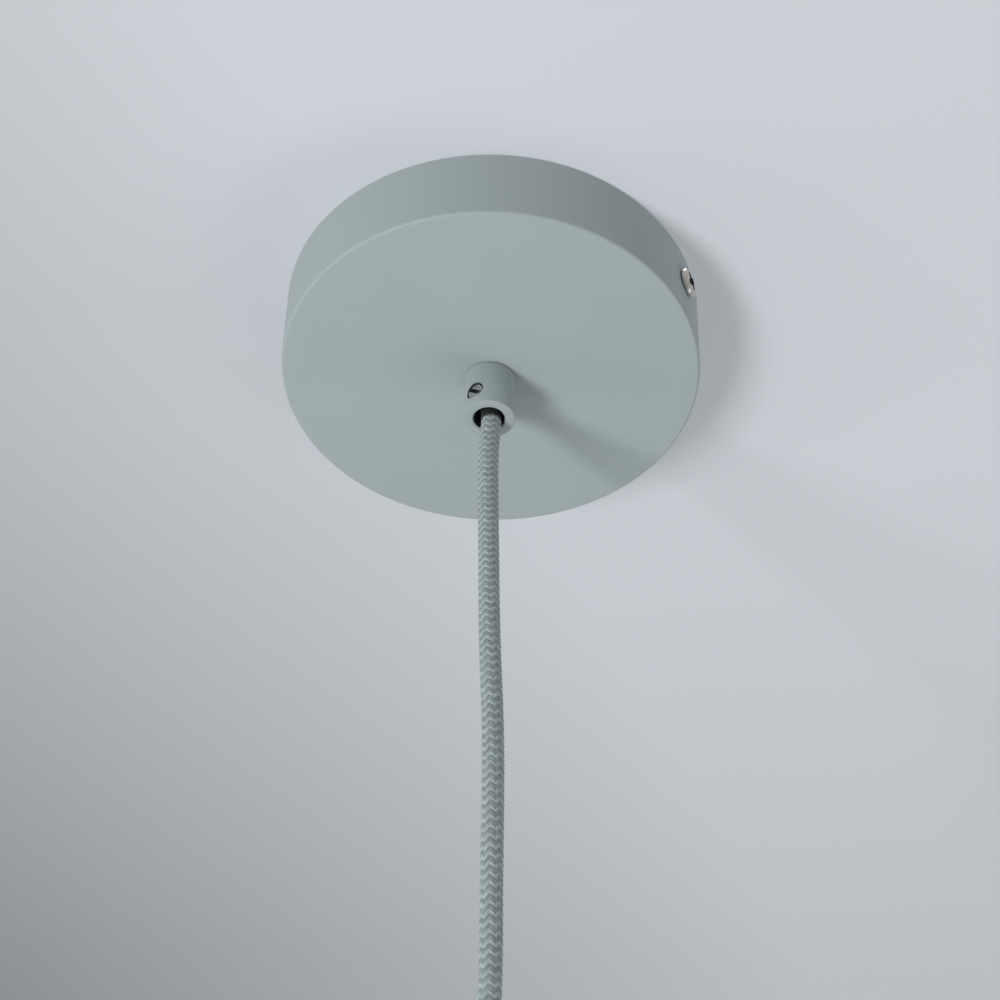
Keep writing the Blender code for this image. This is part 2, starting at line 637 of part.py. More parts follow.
def make_terminal_block(parent):
    """Three-pole block: base and six screw towers, a brass barrel and two clamp screws in each pole."""
    top = -BRACKET_THICKNESS - GAP
    bottom = top - BLOCK_BASE_HEIGHT
    half_depth = BLOCK_DEPTH / 2
    half_width = 1.5 * POLE_PITCH
    body = box_mesh((-half_depth, -half_width, bottom), (half_depth, half_width, top), BLOCK_EDGE)
    block = add_mesh("terminal_block", body, WHITE_NYLON)
    block.location = (BLOCK_X, 0, 0)
    block.parent = parent
    rim = bottom - BLOCK_TOWER_HEIGHT
    screw_radius = CLAMP_SCREW_DIAMETER / 2
    for index, pole in enumerate(POLE_NAMES):
        y = (index - 1) * POLE_PITCH
        for side, sign in (("inner", -1), ("outer", 1)):
            x = sign * BLOCK_TOWER_REACH
            radius = BLOCK_TOWER_DIAMETER / 2
            tower = drill(f"tower_{pole}_{side}", radius, (x, y, rim), (x, y, bottom + OVERSHOOT), 12)
            tower.parent = block
            cut(block, tower, "UNION")
        bore = drill(
            f"pole_bore_{pole}",
            BARREL_DIAMETER / 2 + HOLE_CLEARANCE,
            (-half_depth - OVERSHOOT, y, BARREL_Z),
            (half_depth + OVERSHOOT, y, BARREL_Z),
            12,
        )
        bore.parent = block
        cut(block, bore)
        for side, sign in (("inner", -1), ("outer", 1)):
            x = sign * BLOCK_TOWER_REACH
            well = drill(
                f"screw_well_{pole}_{side}",
                screw_radius + HOLE_CLEARANCE,
                (x, y, rim - OVERSHOOT),
                (x, y, BARREL_Z - BARREL_DIAMETER / 4),
                10,
            )
            well.parent = block
            cut(block, well)
        make_pole(parent, pole, y, rim)
    fixing_y = POLE_PITCH / 2
    hole_radius = BLOCK_SCREW_DIAMETER / 2 + HOLE_CLEARANCE
    below, above = (0, fixing_y, bottom - OVERSHOOT), (0, fixing_y, top + OVERSHOOT)
    hole = drill("block_fixing_hole", hole_radius, below, above, 12)
    hole.parent = block
    cut(block, hole)
    screw = make_screw(
        "terminal_block_screw",
        BLOCK_SCREW_DIAMETER,
        -bottom,
        BLOCK_SCREW_HEAD_DIAMETER,
        BLOCK_SCREW_HEAD_HEIGHT,
        PLATED_STEEL,
        segments=12,
    )
    screw.location = (BLOCK_X, fixing_y, bottom - GAP)
    screw.rotation_euler = (math.pi, 0, 0)
    screw.parent = parent


def make_pole(parent, pole, y, rim):
    """Brass barrel of one pole and its two clamp screws."""
    half = BLOCK_DEPTH / 2 - BARREL_RECESS
    bore, radius = BARREL_BORE / 2, BARREL_DIAMETER / 2
    profile = [(bore, -half), (radius, -half), (radius, half), (bore, half)]
    barrel = turned(f"terminal_barrel_{pole}", profile, 12, BRASS)
    barrel.location = (BLOCK_X, y, BARREL_Z)
    barrel.rotation_euler = (0, math.pi / 2, 0)
    barrel.parent = parent
    screw_radius = CLAMP_SCREW_DIAMETER / 2
    length = BARREL_Z - rim - CLAMP_SCREW_SUNK
    for side, sign in (("inner", -1), ("outer", 1)):
        x = BLOCK_X + sign * BLOCK_TOWER_REACH
        hole = drill(
            f"barrel_hole_{pole}_{side}",
            screw_radius + HOLE_CLEARANCE,
            (x, y, BARREL_Z - BARREL_DIAMETER),
            (x, y, BARREL_Z),
            10,
        )
        cut(barrel, hole)
        tip = screw_radius / 5
        point = [(screw_radius, length - tip), (screw_radius - tip, length), (0, length)]
        screw = turned(f"clamp_screw_{pole}_{side}", [(0, 0), (screw_radius, 0)] + point, 10, BRASS)
        screw.location = (x, y, rim + CLAMP_SCREW_SUNK)
        screw.parent = parent
        long, wide = CLAMP_SCREW_DIAMETER, CLAMP_SLOT_WIDTH / 2
        slot_mesh = box_mesh((-long, -wide, -OVERSHOOT), (long, wide, CLAMP_SLOT_DEPTH))
        slot = add_mesh(f"clamp_slot_{pole}_{side}", slot_mesh)
        slot.parent = screw
        cut(screw, slot)


def make_grip(name, seat, upward, grub_angle, parent):
    """Cord grip with its grub screw, seated at a height, its mouth above or below the seat."""
    radius = GRIP_DIAMETER / 2
    mouth = GRIP_MOUTH_BORE / 2
    depth = GRIP_LENGTH - GRIP_MOUTH_DEPTH
    stub = STUB_DIAMETER / 2
    edge = GRIP_MOUTH_CHAMFER
    profile = [
        (THROAT_RADIUS, -STUB_LENGTH),
        (stub - STUB_CHAMFER, -STUB_LENGTH),
        (stub, -STUB_LENGTH + STUB_CHAMFER),
        (stub, 0),
        (radius, 0),
        (radius, GRIP_LENGTH - edge),
        (radius - edge, GRIP_LENGTH),
        (mouth + edge, GRIP_LENGTH),
        (mouth, GRIP_LENGTH - edge),
        (mouth, depth),
        (THROAT_RADIUS, depth - (mouth - THROAT_RADIUS)),
    ]
    body = turned(f"{name}_body", profile, GRIP_SEGMENTS, GREY_PAINT)
    body.location = (0, 0, seat)
    body.rotation_euler = (0 if upward else math.pi, 0, 0)
    body.parent = parent
    height = seat + (1 if upward else -1) * (GRIP_LENGTH - GRUB_RISE)
    out = Vector((math.cos(grub_angle), math.sin(grub_angle), 0))
    level = Vector((0, 0, height))
    hole_radius = GRUB_DIAMETER / 2 + HOLE_CLEARANCE
    cut(body, drill(f"{name}_grub_hole", hole_radius, level, level + out * (radius + OVERSHOOT), 20))
    make_grub_screw(f"{name}_grub_screw", level, out, parent)


def make_grub_screw(name, level, out, parent):
    """Slotted grub screw that points from a grip's side at the cord. `out` is the way out of the grip."""
    inner = CORD_DIAMETER / 2 + GRUB_TIP_CLEARANCE
    length = GRIP_DIAMETER / 2 - GRUB_SUNK - inner
    radius, chamfer = GRUB_DIAMETER / 2, GRUB_CHAMFER
    outline = [
        (0, 0), (radius - chamfer, 0), (radius, chamfer),
        (radius, length - chamfer / 2), (radius - chamfer / 2, length), (0, length),
    ]
    grub = turned(name, outline, 20, PLATED_STEEL)
    grub.location = level + out * inner
    grub.rotation_mode = "QUATERNION"
    grub.rotation_quaternion = out.to_track_quat("Z", "Y")
    grub.parent = parent
    long, wide = GRUB_DIAMETER, GRUB_SLOT_WIDTH / 2
    slot_mesh = box_mesh((-long, -wide, length - GRUB_SLOT_DEPTH), (long, wide, length + OVERSHOOT))
    slot = add_mesh(name + "_slot", slot_mesh)
    slot.parent = grub
    cut(grub, slot)


def ring_prism(name, outer, face_radius, low, high, segments, finish):
    """Ring on the stub whose outer radius is a function of the angle.

    Its corners are turned down at the nut's chamfer angle to `face_radius` at both faces.
    """
    bm = bmesh.new()
    inner = STUB_HOLE_RADIUS
    grid = []
    for segment in range(segments):
        angle = math.tau * segment / segments
        reach = outer(angle)
        face = min(reach, face_radius)
        drop = (reach - face) * math.tan(NUT_CHAMFER_ANGLE)
        under = [(inner, low), (face, low), (reach, low + drop)]
        over = [(reach, high - drop), (face, high), (inner, high)]
        grid.append([bm.verts.new((r * math.cos(angle), r * math.sin(angle), z)) for r, z in under + over])
    for here, there in zip(grid, grid[1:] + grid[:1]):
        for row in range(len(here)):
            below = (row + 1) % len(here)
            bm.faces.new((here[row], there[row], there[below], here[below]))
    bmesh.ops.remove_doubles(bm, verts=bm.verts, dist=1e-6)
    return add_mesh(name, bm, finish)


def hexagon(angle):
    """Radius of the nut's hexagon at an angle."""
    sixth = math.tau / 6
    return NUT_ACROSS_FLATS / 2 / math.cos((angle + sixth / 2) % sixth - sixth / 2)


def toothed(angle):
    """Radius of the lock washer's edge at an angle."""
    phase = (angle * WASHER_TEETH / math.tau) % 1.0
    return WASHER_DIAMETER / 2 - (WASHER_TOOTH_DEPTH if phase > TOOTH_SHARE else 0)


def make_stub_fasteners(name, face, inward, parent):
    """Lock washer and nut on a grip's stub. `inward` is the way from the face along the stub."""
    near, far = face + inward * GAP, face + inward * (GAP + WASHER_THICKNESS)
    low, high = min(near, far), max(near, far)
    edge = WASHER_DIAMETER / 2
    washer = ring_prism(f"{name}_lock_washer", toothed, edge, low, high, 4 * WASHER_TEETH, PLATED_STEEL)
    washer.parent = parent
    near, far = far + inward * GAP, far + inward * (GAP + NUT_HEIGHT)
    low, high = min(near, far), max(near, far)
    edge = NUT_ACROSS_FLATS / 2 - NUT_FACE_MARGIN
    nut = ring_prism(f"{name}_nut", hexagon, edge, low, high, 24, BRASS)
    nut.parent = parent


def cord_point(height, aside, across):
    """A point of the cord's route."""
    sway = Matrix.Rotation(SWAY_ANGLE, 3, "Z") @ Vector((aside, across, 0))
    return sway + Vector((0, 0, height))


def make_cord(parent):
    """The sleeved cord from inside the canopy to inside the lamp holder, with a collar at each end."""
    route = smooth_route([cord_point(*point) for point in CORD_ROUTE], CORD_STEP)
    cord = tube("cord", route, CORD_DIAMETER, GREY_TEXTILE, fineness=3)
    cord.parent = parent
    inner = CORD_DIAMETER / 2 + GAP
    outer = inner + COLLAR_WALL
    for name, low in (("cord_collar", CORD_TOP - COLLAR_LENGTH), ("lower_cord_collar", CORD_BOTTOM)):
        high = low + COLLAR_LENGTH
        collar = turned(name, [(inner, low), (outer, low), (outer, high), (inner, high)], 16, BLACK_SLEEVE)
        collar.parent = parent


def core_start(angle, height):
    """Where a core leaves the cord's end."""
    return Vector((CORE_LAY_RADIUS * math.cos(angle), CORE_LAY_RADIUS * math.sin(angle), height))


def make_canopy_cores(parent, mouths):
    """The cord's cores in the canopy, and the lead from the block's earth pole to the bracket."""
    start_z = CORD_TOP + GAP
    entry_x = BLOCK_X - BLOCK_DEPTH / 2 + BARREL_RECESS - GAP
    up, ahead = (0, 0, 1), (1, 0, 0)
    for pole, angle, finish in (("live", -60, BROWN_PVC), ("neutral", 60, BLUE_PVC)):
        start = core_start(math.radians(angle), start_z)
        end = (entry_x, (POLE_NAMES.index(pole) - 1) * POLE_PITCH, BARREL_Z)
        tube(f"core_{pole}", bend(start, up, end, ahead), CORE_DIAMETER, finish).parent = parent
    mouth, way = mouths["earth_core_terminal"]
    route = bend(core_start(math.pi, start_z), up, mouth, way)
    tube("core_earth", route, CORE_DIAMETER, GREEN_YELLOW_PVC).parent = parent
    mouth, way = mouths["earth_lead_terminal"]
    end = (entry_x, POLE_PITCH, BARREL_Z)
    tube("earth_lead", bend(mouth, -way, end, ahead), CORE_DIAMETER, GREEN_YELLOW_PVC).parent = parent


def make_holder_shell(parent):
    """Painted cup that covers the socket."""
    radius, wall, shoulder = SHELL_RADIUS, SHELL_WALL, SHELL_SHOULDER_RADIUS
    centre = (radius - shoulder, SHELL_TOP - shoulder)
    outside = [(STUB_HOLE_RADIUS, SHELL_TOP)] + arc(centre, shoulder, 90, 0, 5) + [(radius, SHELL_BOTTOM)]
    inside = [(radius - wall, SHELL_BOTTOM)] + arc(centre, shoulder - wall, 0, 90, 3)
    inside.append((STUB_HOLE_RADIUS, SHELL_TOP - wall))
    turned("holder_shell", outside + inside, SHELL_SEGMENTS, GREY_PAINT).parent = parent


def make_stirrup(parent):
    """Folded strip: a top plate on the stub, two legs, and feet screwed to the socket."""
    thick, top, low = STIRRUP_THICKNESS, STIRRUP_TOP, STIRRUP_TOP - STIRRUP_HEIGHT
    leg = STIRRUP_SCREW_X - STIRRUP_FOOT / 2
    toe = leg + STIRRUP_FOOT
    outer = [(leg - thick, top), (leg, top - thick), (leg, low + thick), (toe, low + thick)]
    inner = [(toe, low), (leg, low), (leg - thick, low + thick), (leg - thick, top - thick)]
    right = outer + inner
    left = [(-x, z) for x, z in reversed(right)]
    stirrup = folded_strip("socket_stirrup", right + left, STIRRUP_WIDTH, PLATED_STEEL)
    stirrup.parent = parent
    cut(stirrup, drill("stirrup_hole", STUB_HOLE_RADIUS, (0, 0, top - 2 * thick), (0, 0, top + thick), 24))
    for side, sign in (("right", 1), ("left", -1)):
        x = sign * STIRRUP_SCREW_X
        radius = STIRRUP_SCREW_DIAMETER / 2 + HOLE_CLEARANCE
        cut(stirrup, drill(f"foot_hole_{side}", radius, (x, 0, low - thick), (x, 0, low + 2 * thick), 12))
        screw = make_screw(
            f"stirrup_screw_{side}",
            STIRRUP_SCREW_DIAMETER,
            STIRRUP_SCREW_LENGTH,
            STIRRUP_SCREW_HEAD_DIAMETER,
            STIRRUP_SCREW_HEAD_HEIGHT,
            PLATED_STEEL,
            segments=12,
        )
        screw.location = (x, 0, STIRRUP_SCREW_SEAT)
        screw.parent = parent


def make_socket_body(parent):
    """Moulded body with the lamp's bore, holes for the stirrup's screws and for the two rivets."""
    radius, bore, edge, lip = SOCKET_RADIUS, SOCKET_BORE_RADIUS, SOCKET_EDGE, SOCKET_EDGE / 2
    outside = [(0, SOCKET_TOP), (radius - edge, SOCKET_TOP), (radius, SOCKET_TOP - edge)]
    rim = [(radius, SOCKET_BOTTOM + edge), (radius - edge, SOCKET_BOTTOM), (bore + lip, SOCKET_BOTTOM)]
    inside = [(bore, SOCKET_BOTTOM + lip), (bore, SOCKET_FLOOR), (0, SOCKET_FLOOR)]
    body = turned("socket_body", outside + rim + inside, SOCKET_SEGMENTS, MOULDED_WHITE)
    body.parent = parent
    above = SOCKET_TOP + OVERSHOOT
    for side, sign in (("right", 1), ("left", -1)):
        x = sign * STIRRUP_SCREW_X
        tip = STIRRUP_SCREW_SEAT - STIRRUP_SCREW_LENGTH - GAP
        hole_radius = STIRRUP_SCREW_DIAMETER / 2 + HOLE_CLEARANCE
        cut(body, drill(f"socket_hole_{side}", hole_radius, (x, 0, tip), (x, 0, above), 12))
    for pole, reach in (("live", LIVE_RIVET_REACH), ("neutral", NEUTRAL_RIVET_REACH)):
        angle = SOCKET_TERMINAL_ANGLES[pole]
        x, y = reach * math.cos(angle), reach * math.sin(angle)
        hole_radius = RIVET_DIAMETER / 2 + HOLE_CLEARANCE
        below = SOCKET_FLOOR - OVERSHOOT
        cut(body, drill(f"rivet_hole_{pole}", hole_radius, (x, y, below), (x, y, above), 12))


def make_screw_shell(parent):
    """Rolled thread of thin sheet with a flange at its top: one sheet, wound as a true helix."""
    mid, swing, flange = THREAD_MID_RADIUS, THREAD_DEPTH / 2, FLANGE_BORE_RADIUS
    top = SOCKET_FLOOR - GAP
    rows = round(THREAD_LENGTH / THREAD_PITCH * ROWS_PER_PITCH)

    def wave(angle, depth):
        """Radial swing of the sheet, faded out at both ends."""
        fade = min(1.0, depth / THREAD_PITCH, (THREAD_LENGTH - depth) / THREAD_PITCH)
        return swing * fade * math.cos(math.tau * depth / THREAD_PITCH + angle)

    bm = bmesh.new()
    columns = []
    for segment in range(THREAD_SEGMENTS):
        angle = math.tau * segment / THREAD_SEGMENTS
        outline = [(flange, top)]
        for row in range(rows + 1):
            depth = THREAD_LENGTH * row / rows
            outline.append((mid + THREAD_SHEET + wave(angle, depth), top - depth))
        for row in range(rows, 0, -1):
            depth = THREAD_LENGTH * row / rows
            outline.append((mid + wave(angle, depth), top - depth))
        outline += [(mid, top - THREAD_SHEET), (flange, top - THREAD_SHEET)]
        columns.append([bm.verts.new((r * math.cos(angle), r * math.sin(angle), z)) for r, z in outline])
    for here, there in zip(columns, columns[1:] + columns[:1]):
        for row in range(len(here)):
            below = (row + 1) % len(here)
            bm.faces.new((here[row], there[row], there[below], here[below]))
    shell = add_mesh("socket_thread", bm, BRASS, sharp=math.radians(60))
    shell.parent = parent
    angle = SOCKET_TERMINAL_ANGLES["neutral"]
    x, y = NEUTRAL_RIVET_REACH * math.cos(angle), NEUTRAL_RIVET_REACH * math.sin(angle)
    hole_radius = RIVET_DIAMETER / 2 + HOLE_CLEARANCE
    below, above = (x, y, top - THREAD_SHEET - OVERSHOOT), (x, y, top + OVERSHOOT)
    cut(shell, drill("thread_rivet_hole", hole_radius, below, above, 12))
    make_rivet("thread_rivet", (x, y, top - THREAD_SHEET - GAP), parent)


def make_rivet(name, place, parent):
    """Rivet with its head below a point, its shank up to the terminal on the socket."""
    shank, head, low = RIVET_DIAMETER / 2, RIVET_HEAD_DIAMETER / 2, -RIVET_HEAD_HEIGHT
    length = SOCKET_TOP - place[2]
    dome = [(0, low), (head * RIVET_HEAD_FLAT, low), (head, low / 2), (head, 0)]
    rivet = turned(name, dome + [(shank, 0), (shank, length), (0, length)], 12, BRASS)
    rivet.location = place
    rivet.parent = parent


def make_centre_contact(parent):
    """Sprung strip from its rivet to the axis, bent down to meet the lamp."""
    angle = SOCKET_TERMINAL_ANGLES["live"]
    top = SOCKET_FLOOR - GAP
    thick = CONTACT_THICKNESS
    reach = LIVE_RIVET_REACH
    tip_top = top - CONTACT_DROP + thick
    heel = reach - (CONTACT_TAIL - reach) - OVERSHOOT / 2
    spine = [(CONTACT_TAIL, top), (heel, top), (CONTACT_TIP, tip_top), (-CONTACT_TIP, tip_top)]
    under = [(x, z - thick) for x, z in reversed(spine)]
    strip = folded_strip("centre_contact", spine + under, CONTACT_WIDTH, BRASS)
    strip.rotation_euler = (0, 0, angle)
    strip.parent = parent
    hole_radius = RIVET_DIAMETER / 2 + HOLE_CLEARANCE
    below, above = (reach, 0, top - thick - OVERSHOOT), (reach, 0, top + OVERSHOOT)
    hole = drill("contact_rivet_hole", hole_radius, below, above, 12)
    hole.parent = strip
    cut(strip, hole)
    place = (reach * math.cos(angle), reach * math.sin(angle), top - thick - GAP)
    make_rivet("contact_rivet", place, parent)


def make_socket_terminals(parent):
    """Brass terminal of each pole on the socket, with its clamp screw. Returns where the cores enter."""
    low = SOCKET_TOP + GAP
    high, step = low + SOCKET_TERMINAL_HEIGHT, low + SOCKET_TERMINAL_FOOT
    wire_z = (high + step) / 2
    inner, block, outer = SOCKET_TERMINAL_INNER, SOCKET_TERMINAL_BLOCK_INNER, SOCKET_TERMINAL_OUTER
    middle = (block + outer) / 2
    entries = {}
    for pole, angle in SOCKET_TERMINAL_ANGLES.items():
        outline = [(inner, low), (outer, low), (outer, high), (block, high), (block, step), (inner, step)]
        terminal = folded_strip(f"socket_terminal_{pole}", outline, SOCKET_TERMINAL_WIDTH, BRASS)
        terminal.rotation_euler = (0, 0, angle)
        terminal.parent = parent
        mouth, bore_end = (block - OVERSHOOT, 0, wire_z), (outer - SOCKET_TERMINAL_WALL, 0, wire_z)
        bore = drill(f"socket_wire_bore_{pole}", SOCKET_TERMINAL_BORE / 2, mouth, bore_end, 12)
        bore.parent = terminal
        cut(terminal, bore)
        well = drill(
            f"socket_clamp_well_{pole}",
            CLAMP_SCREW_DIAMETER / 2 + HOLE_CLEARANCE,
            (middle, 0, wire_z),
            (middle, 0, high + OVERSHOOT),
            10,
        )
        well.parent = terminal
        cut(terminal, well)
        way = Vector((math.cos(angle), math.sin(angle), 0))
        screw = make_screw(
            f"socket_clamp_screw_{pole}",
            CLAMP_SCREW_DIAMETER,
            high - wire_z - GAP,
            SOCKET_CLAMP_HEAD_DIAMETER,
            SOCKET_CLAMP_HEAD_HEIGHT,
            BRASS,
            segments=12,
        )
        screw.location = (middle * way.x, middle * way.y, high + GAP)
        screw.parent = parent
        entries[pole] = (way * (block + CORE_ENTRY) + Vector((0, 0, wire_z)), way)
    return entries


def make_earth_tag(parent):
    """Tag under the holder's nut, with a crimp barrel folded down beside the socket's terminals."""
    top = STIRRUP_TOP - STIRRUP_THICKNESS - GAP
    low = top - RING_THICKNESS
    radius = NUT_ACROSS_FLATS / 2
    half = TAG_TONGUE_WIDTH / 2
    spread = math.degrees(math.asin(half / radius))
    outline = arc((0, 0), radius, 90 + spread, 450 - spread, 20)
    outline += [(half, TAG_DROP_REACH), (-half, TAG_DROP_REACH)]
    tag = add_mesh("holder_earth_tag", prism_mesh(outline, low, top), PLATED_STEEL)
    tag.parent = parent
    length = RING_BARREL_LENGTH
    mouth = Vector((0, TAG_DROP_REACH, (low + top) / 2 - length))
    barrel = turned(
        "holder_earth_tag_barrel",
        [(0, 0), (RING_BARREL_RADIUS, 0), (RING_BARREL_RADIUS, length), (0, length)],
        12,
    )
    barrel.location = mouth
    barrel.parent = tag
    cut(tag, barrel, "UNION")
    bore = CORE_RADIUS + HOLE_CLEARANCE
    below, above = mouth - Vector((0, 0, OVERSHOOT)), mouth + Vector((0, 0, length / 2))
    well = drill("holder_earth_tag_bore", bore, below, above, 12)
    well.parent = tag
    cut(tag, well)
    below, above = (0, 0, low - OVERSHOOT), (0, 0, top + OVERSHOOT)
    eye = drill("holder_earth_tag_eye", STUB_HOLE_RADIUS, below, above, 24)
    eye.parent = tag
    cut(tag, eye)
    return low, mouth + Vector((0, 0, CORE_ENTRY))


def make_holder_cores(parent, entries, tag_mouth):
    """The cord's cores in the lamp holder."""
    start_z = CORD_BOTTOM - GAP
    down = (0, 0, -1)
    for pole, angle, finish in (("live", 210, BROWN_PVC), ("neutral", 330, BLUE_PVC)):
        end, way = entries[pole]
        start = core_start(math.radians(angle), start_z)
        tube(f"lower_core_{pole}", bend(start, down, end, way), CORE_DIAMETER, finish).parent = parent
    start = core_start(math.pi / 2, start_z)
    middle = Vector((0, (start.y + tag_mouth.y) / 2, start_z - EARTH_CORE_DIP))
    route = bend(start, down, middle, (0, 1, 0), 5, 0.55)
    route += bend(middle, (0, 1, 0), tag_mouth, (0, 0, 1), 7, 0.5)[1:]
    tube("lower_core_earth", route, CORE_DIAMETER, GREEN_YELLOW_PVC).parent = parent


def make_canopy(parent):
    """Everything at the ceiling."""
    assembly = add_assembly("canopy_assembly", parent)
    make_canopy_cup(assembly)
    make_side_screws(assembly)
    make_bracket(assembly)
    mouths = make_earth_point(assembly)
    make_terminal_block(assembly)
    make_grip("cord_grip", CANOPY_GRIP_TOP, False, CANOPY_GRUB_ANGLE, assembly)
    make_stub_fasteners("cord_grip", GRIP_SEAT + CANOPY_WALL, 1, assembly)
    make_canopy_cores(assembly, mouths)


def make_holder(parent):
    """The lamp holder on the cord's lower end."""
    assembly = add_assembly("holder_assembly", parent)
    make_grip("holder_grip", HOLDER_SEAT, True, HOLDER_GRUB_ANGLE, assembly)
    make_holder_shell(assembly)
    make_stirrup(assembly)
    tag_low, tag_mouth = make_earth_tag(assembly)
    make_stub_fasteners("holder_grip", tag_low, -1, assembly)
    make_socket_body(assembly)
    make_screw_shell(assembly)
    make_centre_contact(assembly)
    entries = make_socket_terminals(assembly)
    make_holder_cores(assembly, entries, tag_mouth)


def main():
    """Build the whole light."""
    clear_scene()
    light = add_assembly("pendant_light")
    make_canopy(light)
    make_cord(light)
    make_holder(light)


main()
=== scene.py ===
"""Looks of the pendant light: canopy, cord grips, braided cord and lamp holder, with camera and studio.

Metres, +Z up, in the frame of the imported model. The origin is the centre of the canopy's ceiling plane, and
everything hangs below z = 0.
"""

import logging
import math
from collections.abc import Sequence
from dataclasses import dataclass, field
from enum import Enum

import bmesh
import bpy
from mathutils import Matrix, Vector


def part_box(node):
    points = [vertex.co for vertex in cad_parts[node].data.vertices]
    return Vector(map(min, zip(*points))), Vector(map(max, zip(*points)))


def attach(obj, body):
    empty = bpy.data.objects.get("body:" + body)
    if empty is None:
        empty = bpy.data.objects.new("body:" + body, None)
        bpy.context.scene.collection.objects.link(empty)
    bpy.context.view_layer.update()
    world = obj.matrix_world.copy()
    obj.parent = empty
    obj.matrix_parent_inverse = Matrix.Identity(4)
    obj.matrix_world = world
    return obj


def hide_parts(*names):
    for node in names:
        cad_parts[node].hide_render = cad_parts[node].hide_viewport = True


log = logging.getLogger("pendant_light")

Outline = list[tuple[float, float]]
Colour = tuple[float, float, float]
Way = tuple[float, float, float]
Output = bpy.types.NodeSocket

ROOT = "root"
PHOTO_TURN = math.radians(24)  # from the photograph's frame to the light's own
SHARP = 32.0  # degrees from which an edge stays sharp
EXACT = 1e-7  # lengths closer than this are equal
TOUCH = 1e-5  # a face closer than this to a surface lies on it

GAP = 0.0003  # between faces that seat on each other
OVERSHOOT = 0.001  # how far a cutter runs past the face that it opens
HOLE_CLEARANCE = 0.0003  # radial, between a shank and its hole
OFF_GRID = 0.023  # turn of every round cutter, so that no corner of it meets a corner of the piece

CANOPY_RADIUS = 0.060
SIDE_SCREW_DROP = 0.0110  # from the ceiling to the side screws' axis
STUB_HOLE_RADIUS = 0.0053
GRIP_SEAT, HOLDER_GRIP_SEAT = -0.0277, -0.336
CORD_TOP, CORD_BOTTOM = -0.0125, -0.3515
STIRRUP_SHEET = 0.0015
EARTH_SHEET = 0.0008  # of the earth terminals
CRIMP_LENGTH = 0.0060  # of a crimped barrel
CRIMP_RADIUS = 0.00205
CORE_BORE_RADIUS = 0.00145
CORE_ENTRY = 0.0008  # how far a core runs into its terminal


class Side(Enum):
    """The two ends of the X axis."""

    LEFT = -1
    RIGHT = 1


class Pole(Enum):
    """The three conductors, in the terminal block's order."""

    LIVE = "live"
    NEUTRAL = "neutral"
    EARTH = "earth"


class Recess(Enum):
    """Drive cut into a screw's head."""

    NONE = "none"
    SLOT = "slot"
    CROSS = "cross"


POLE_ANGLES = {Pole.LIVE: math.radians(-130), Pole.NEUTRAL: math.radians(-50)}  # of the socket's terminals
POLE_RIVETS = {Pole.LIVE: "contact_rivet", Pole.NEUTRAL: "thread_rivet"}


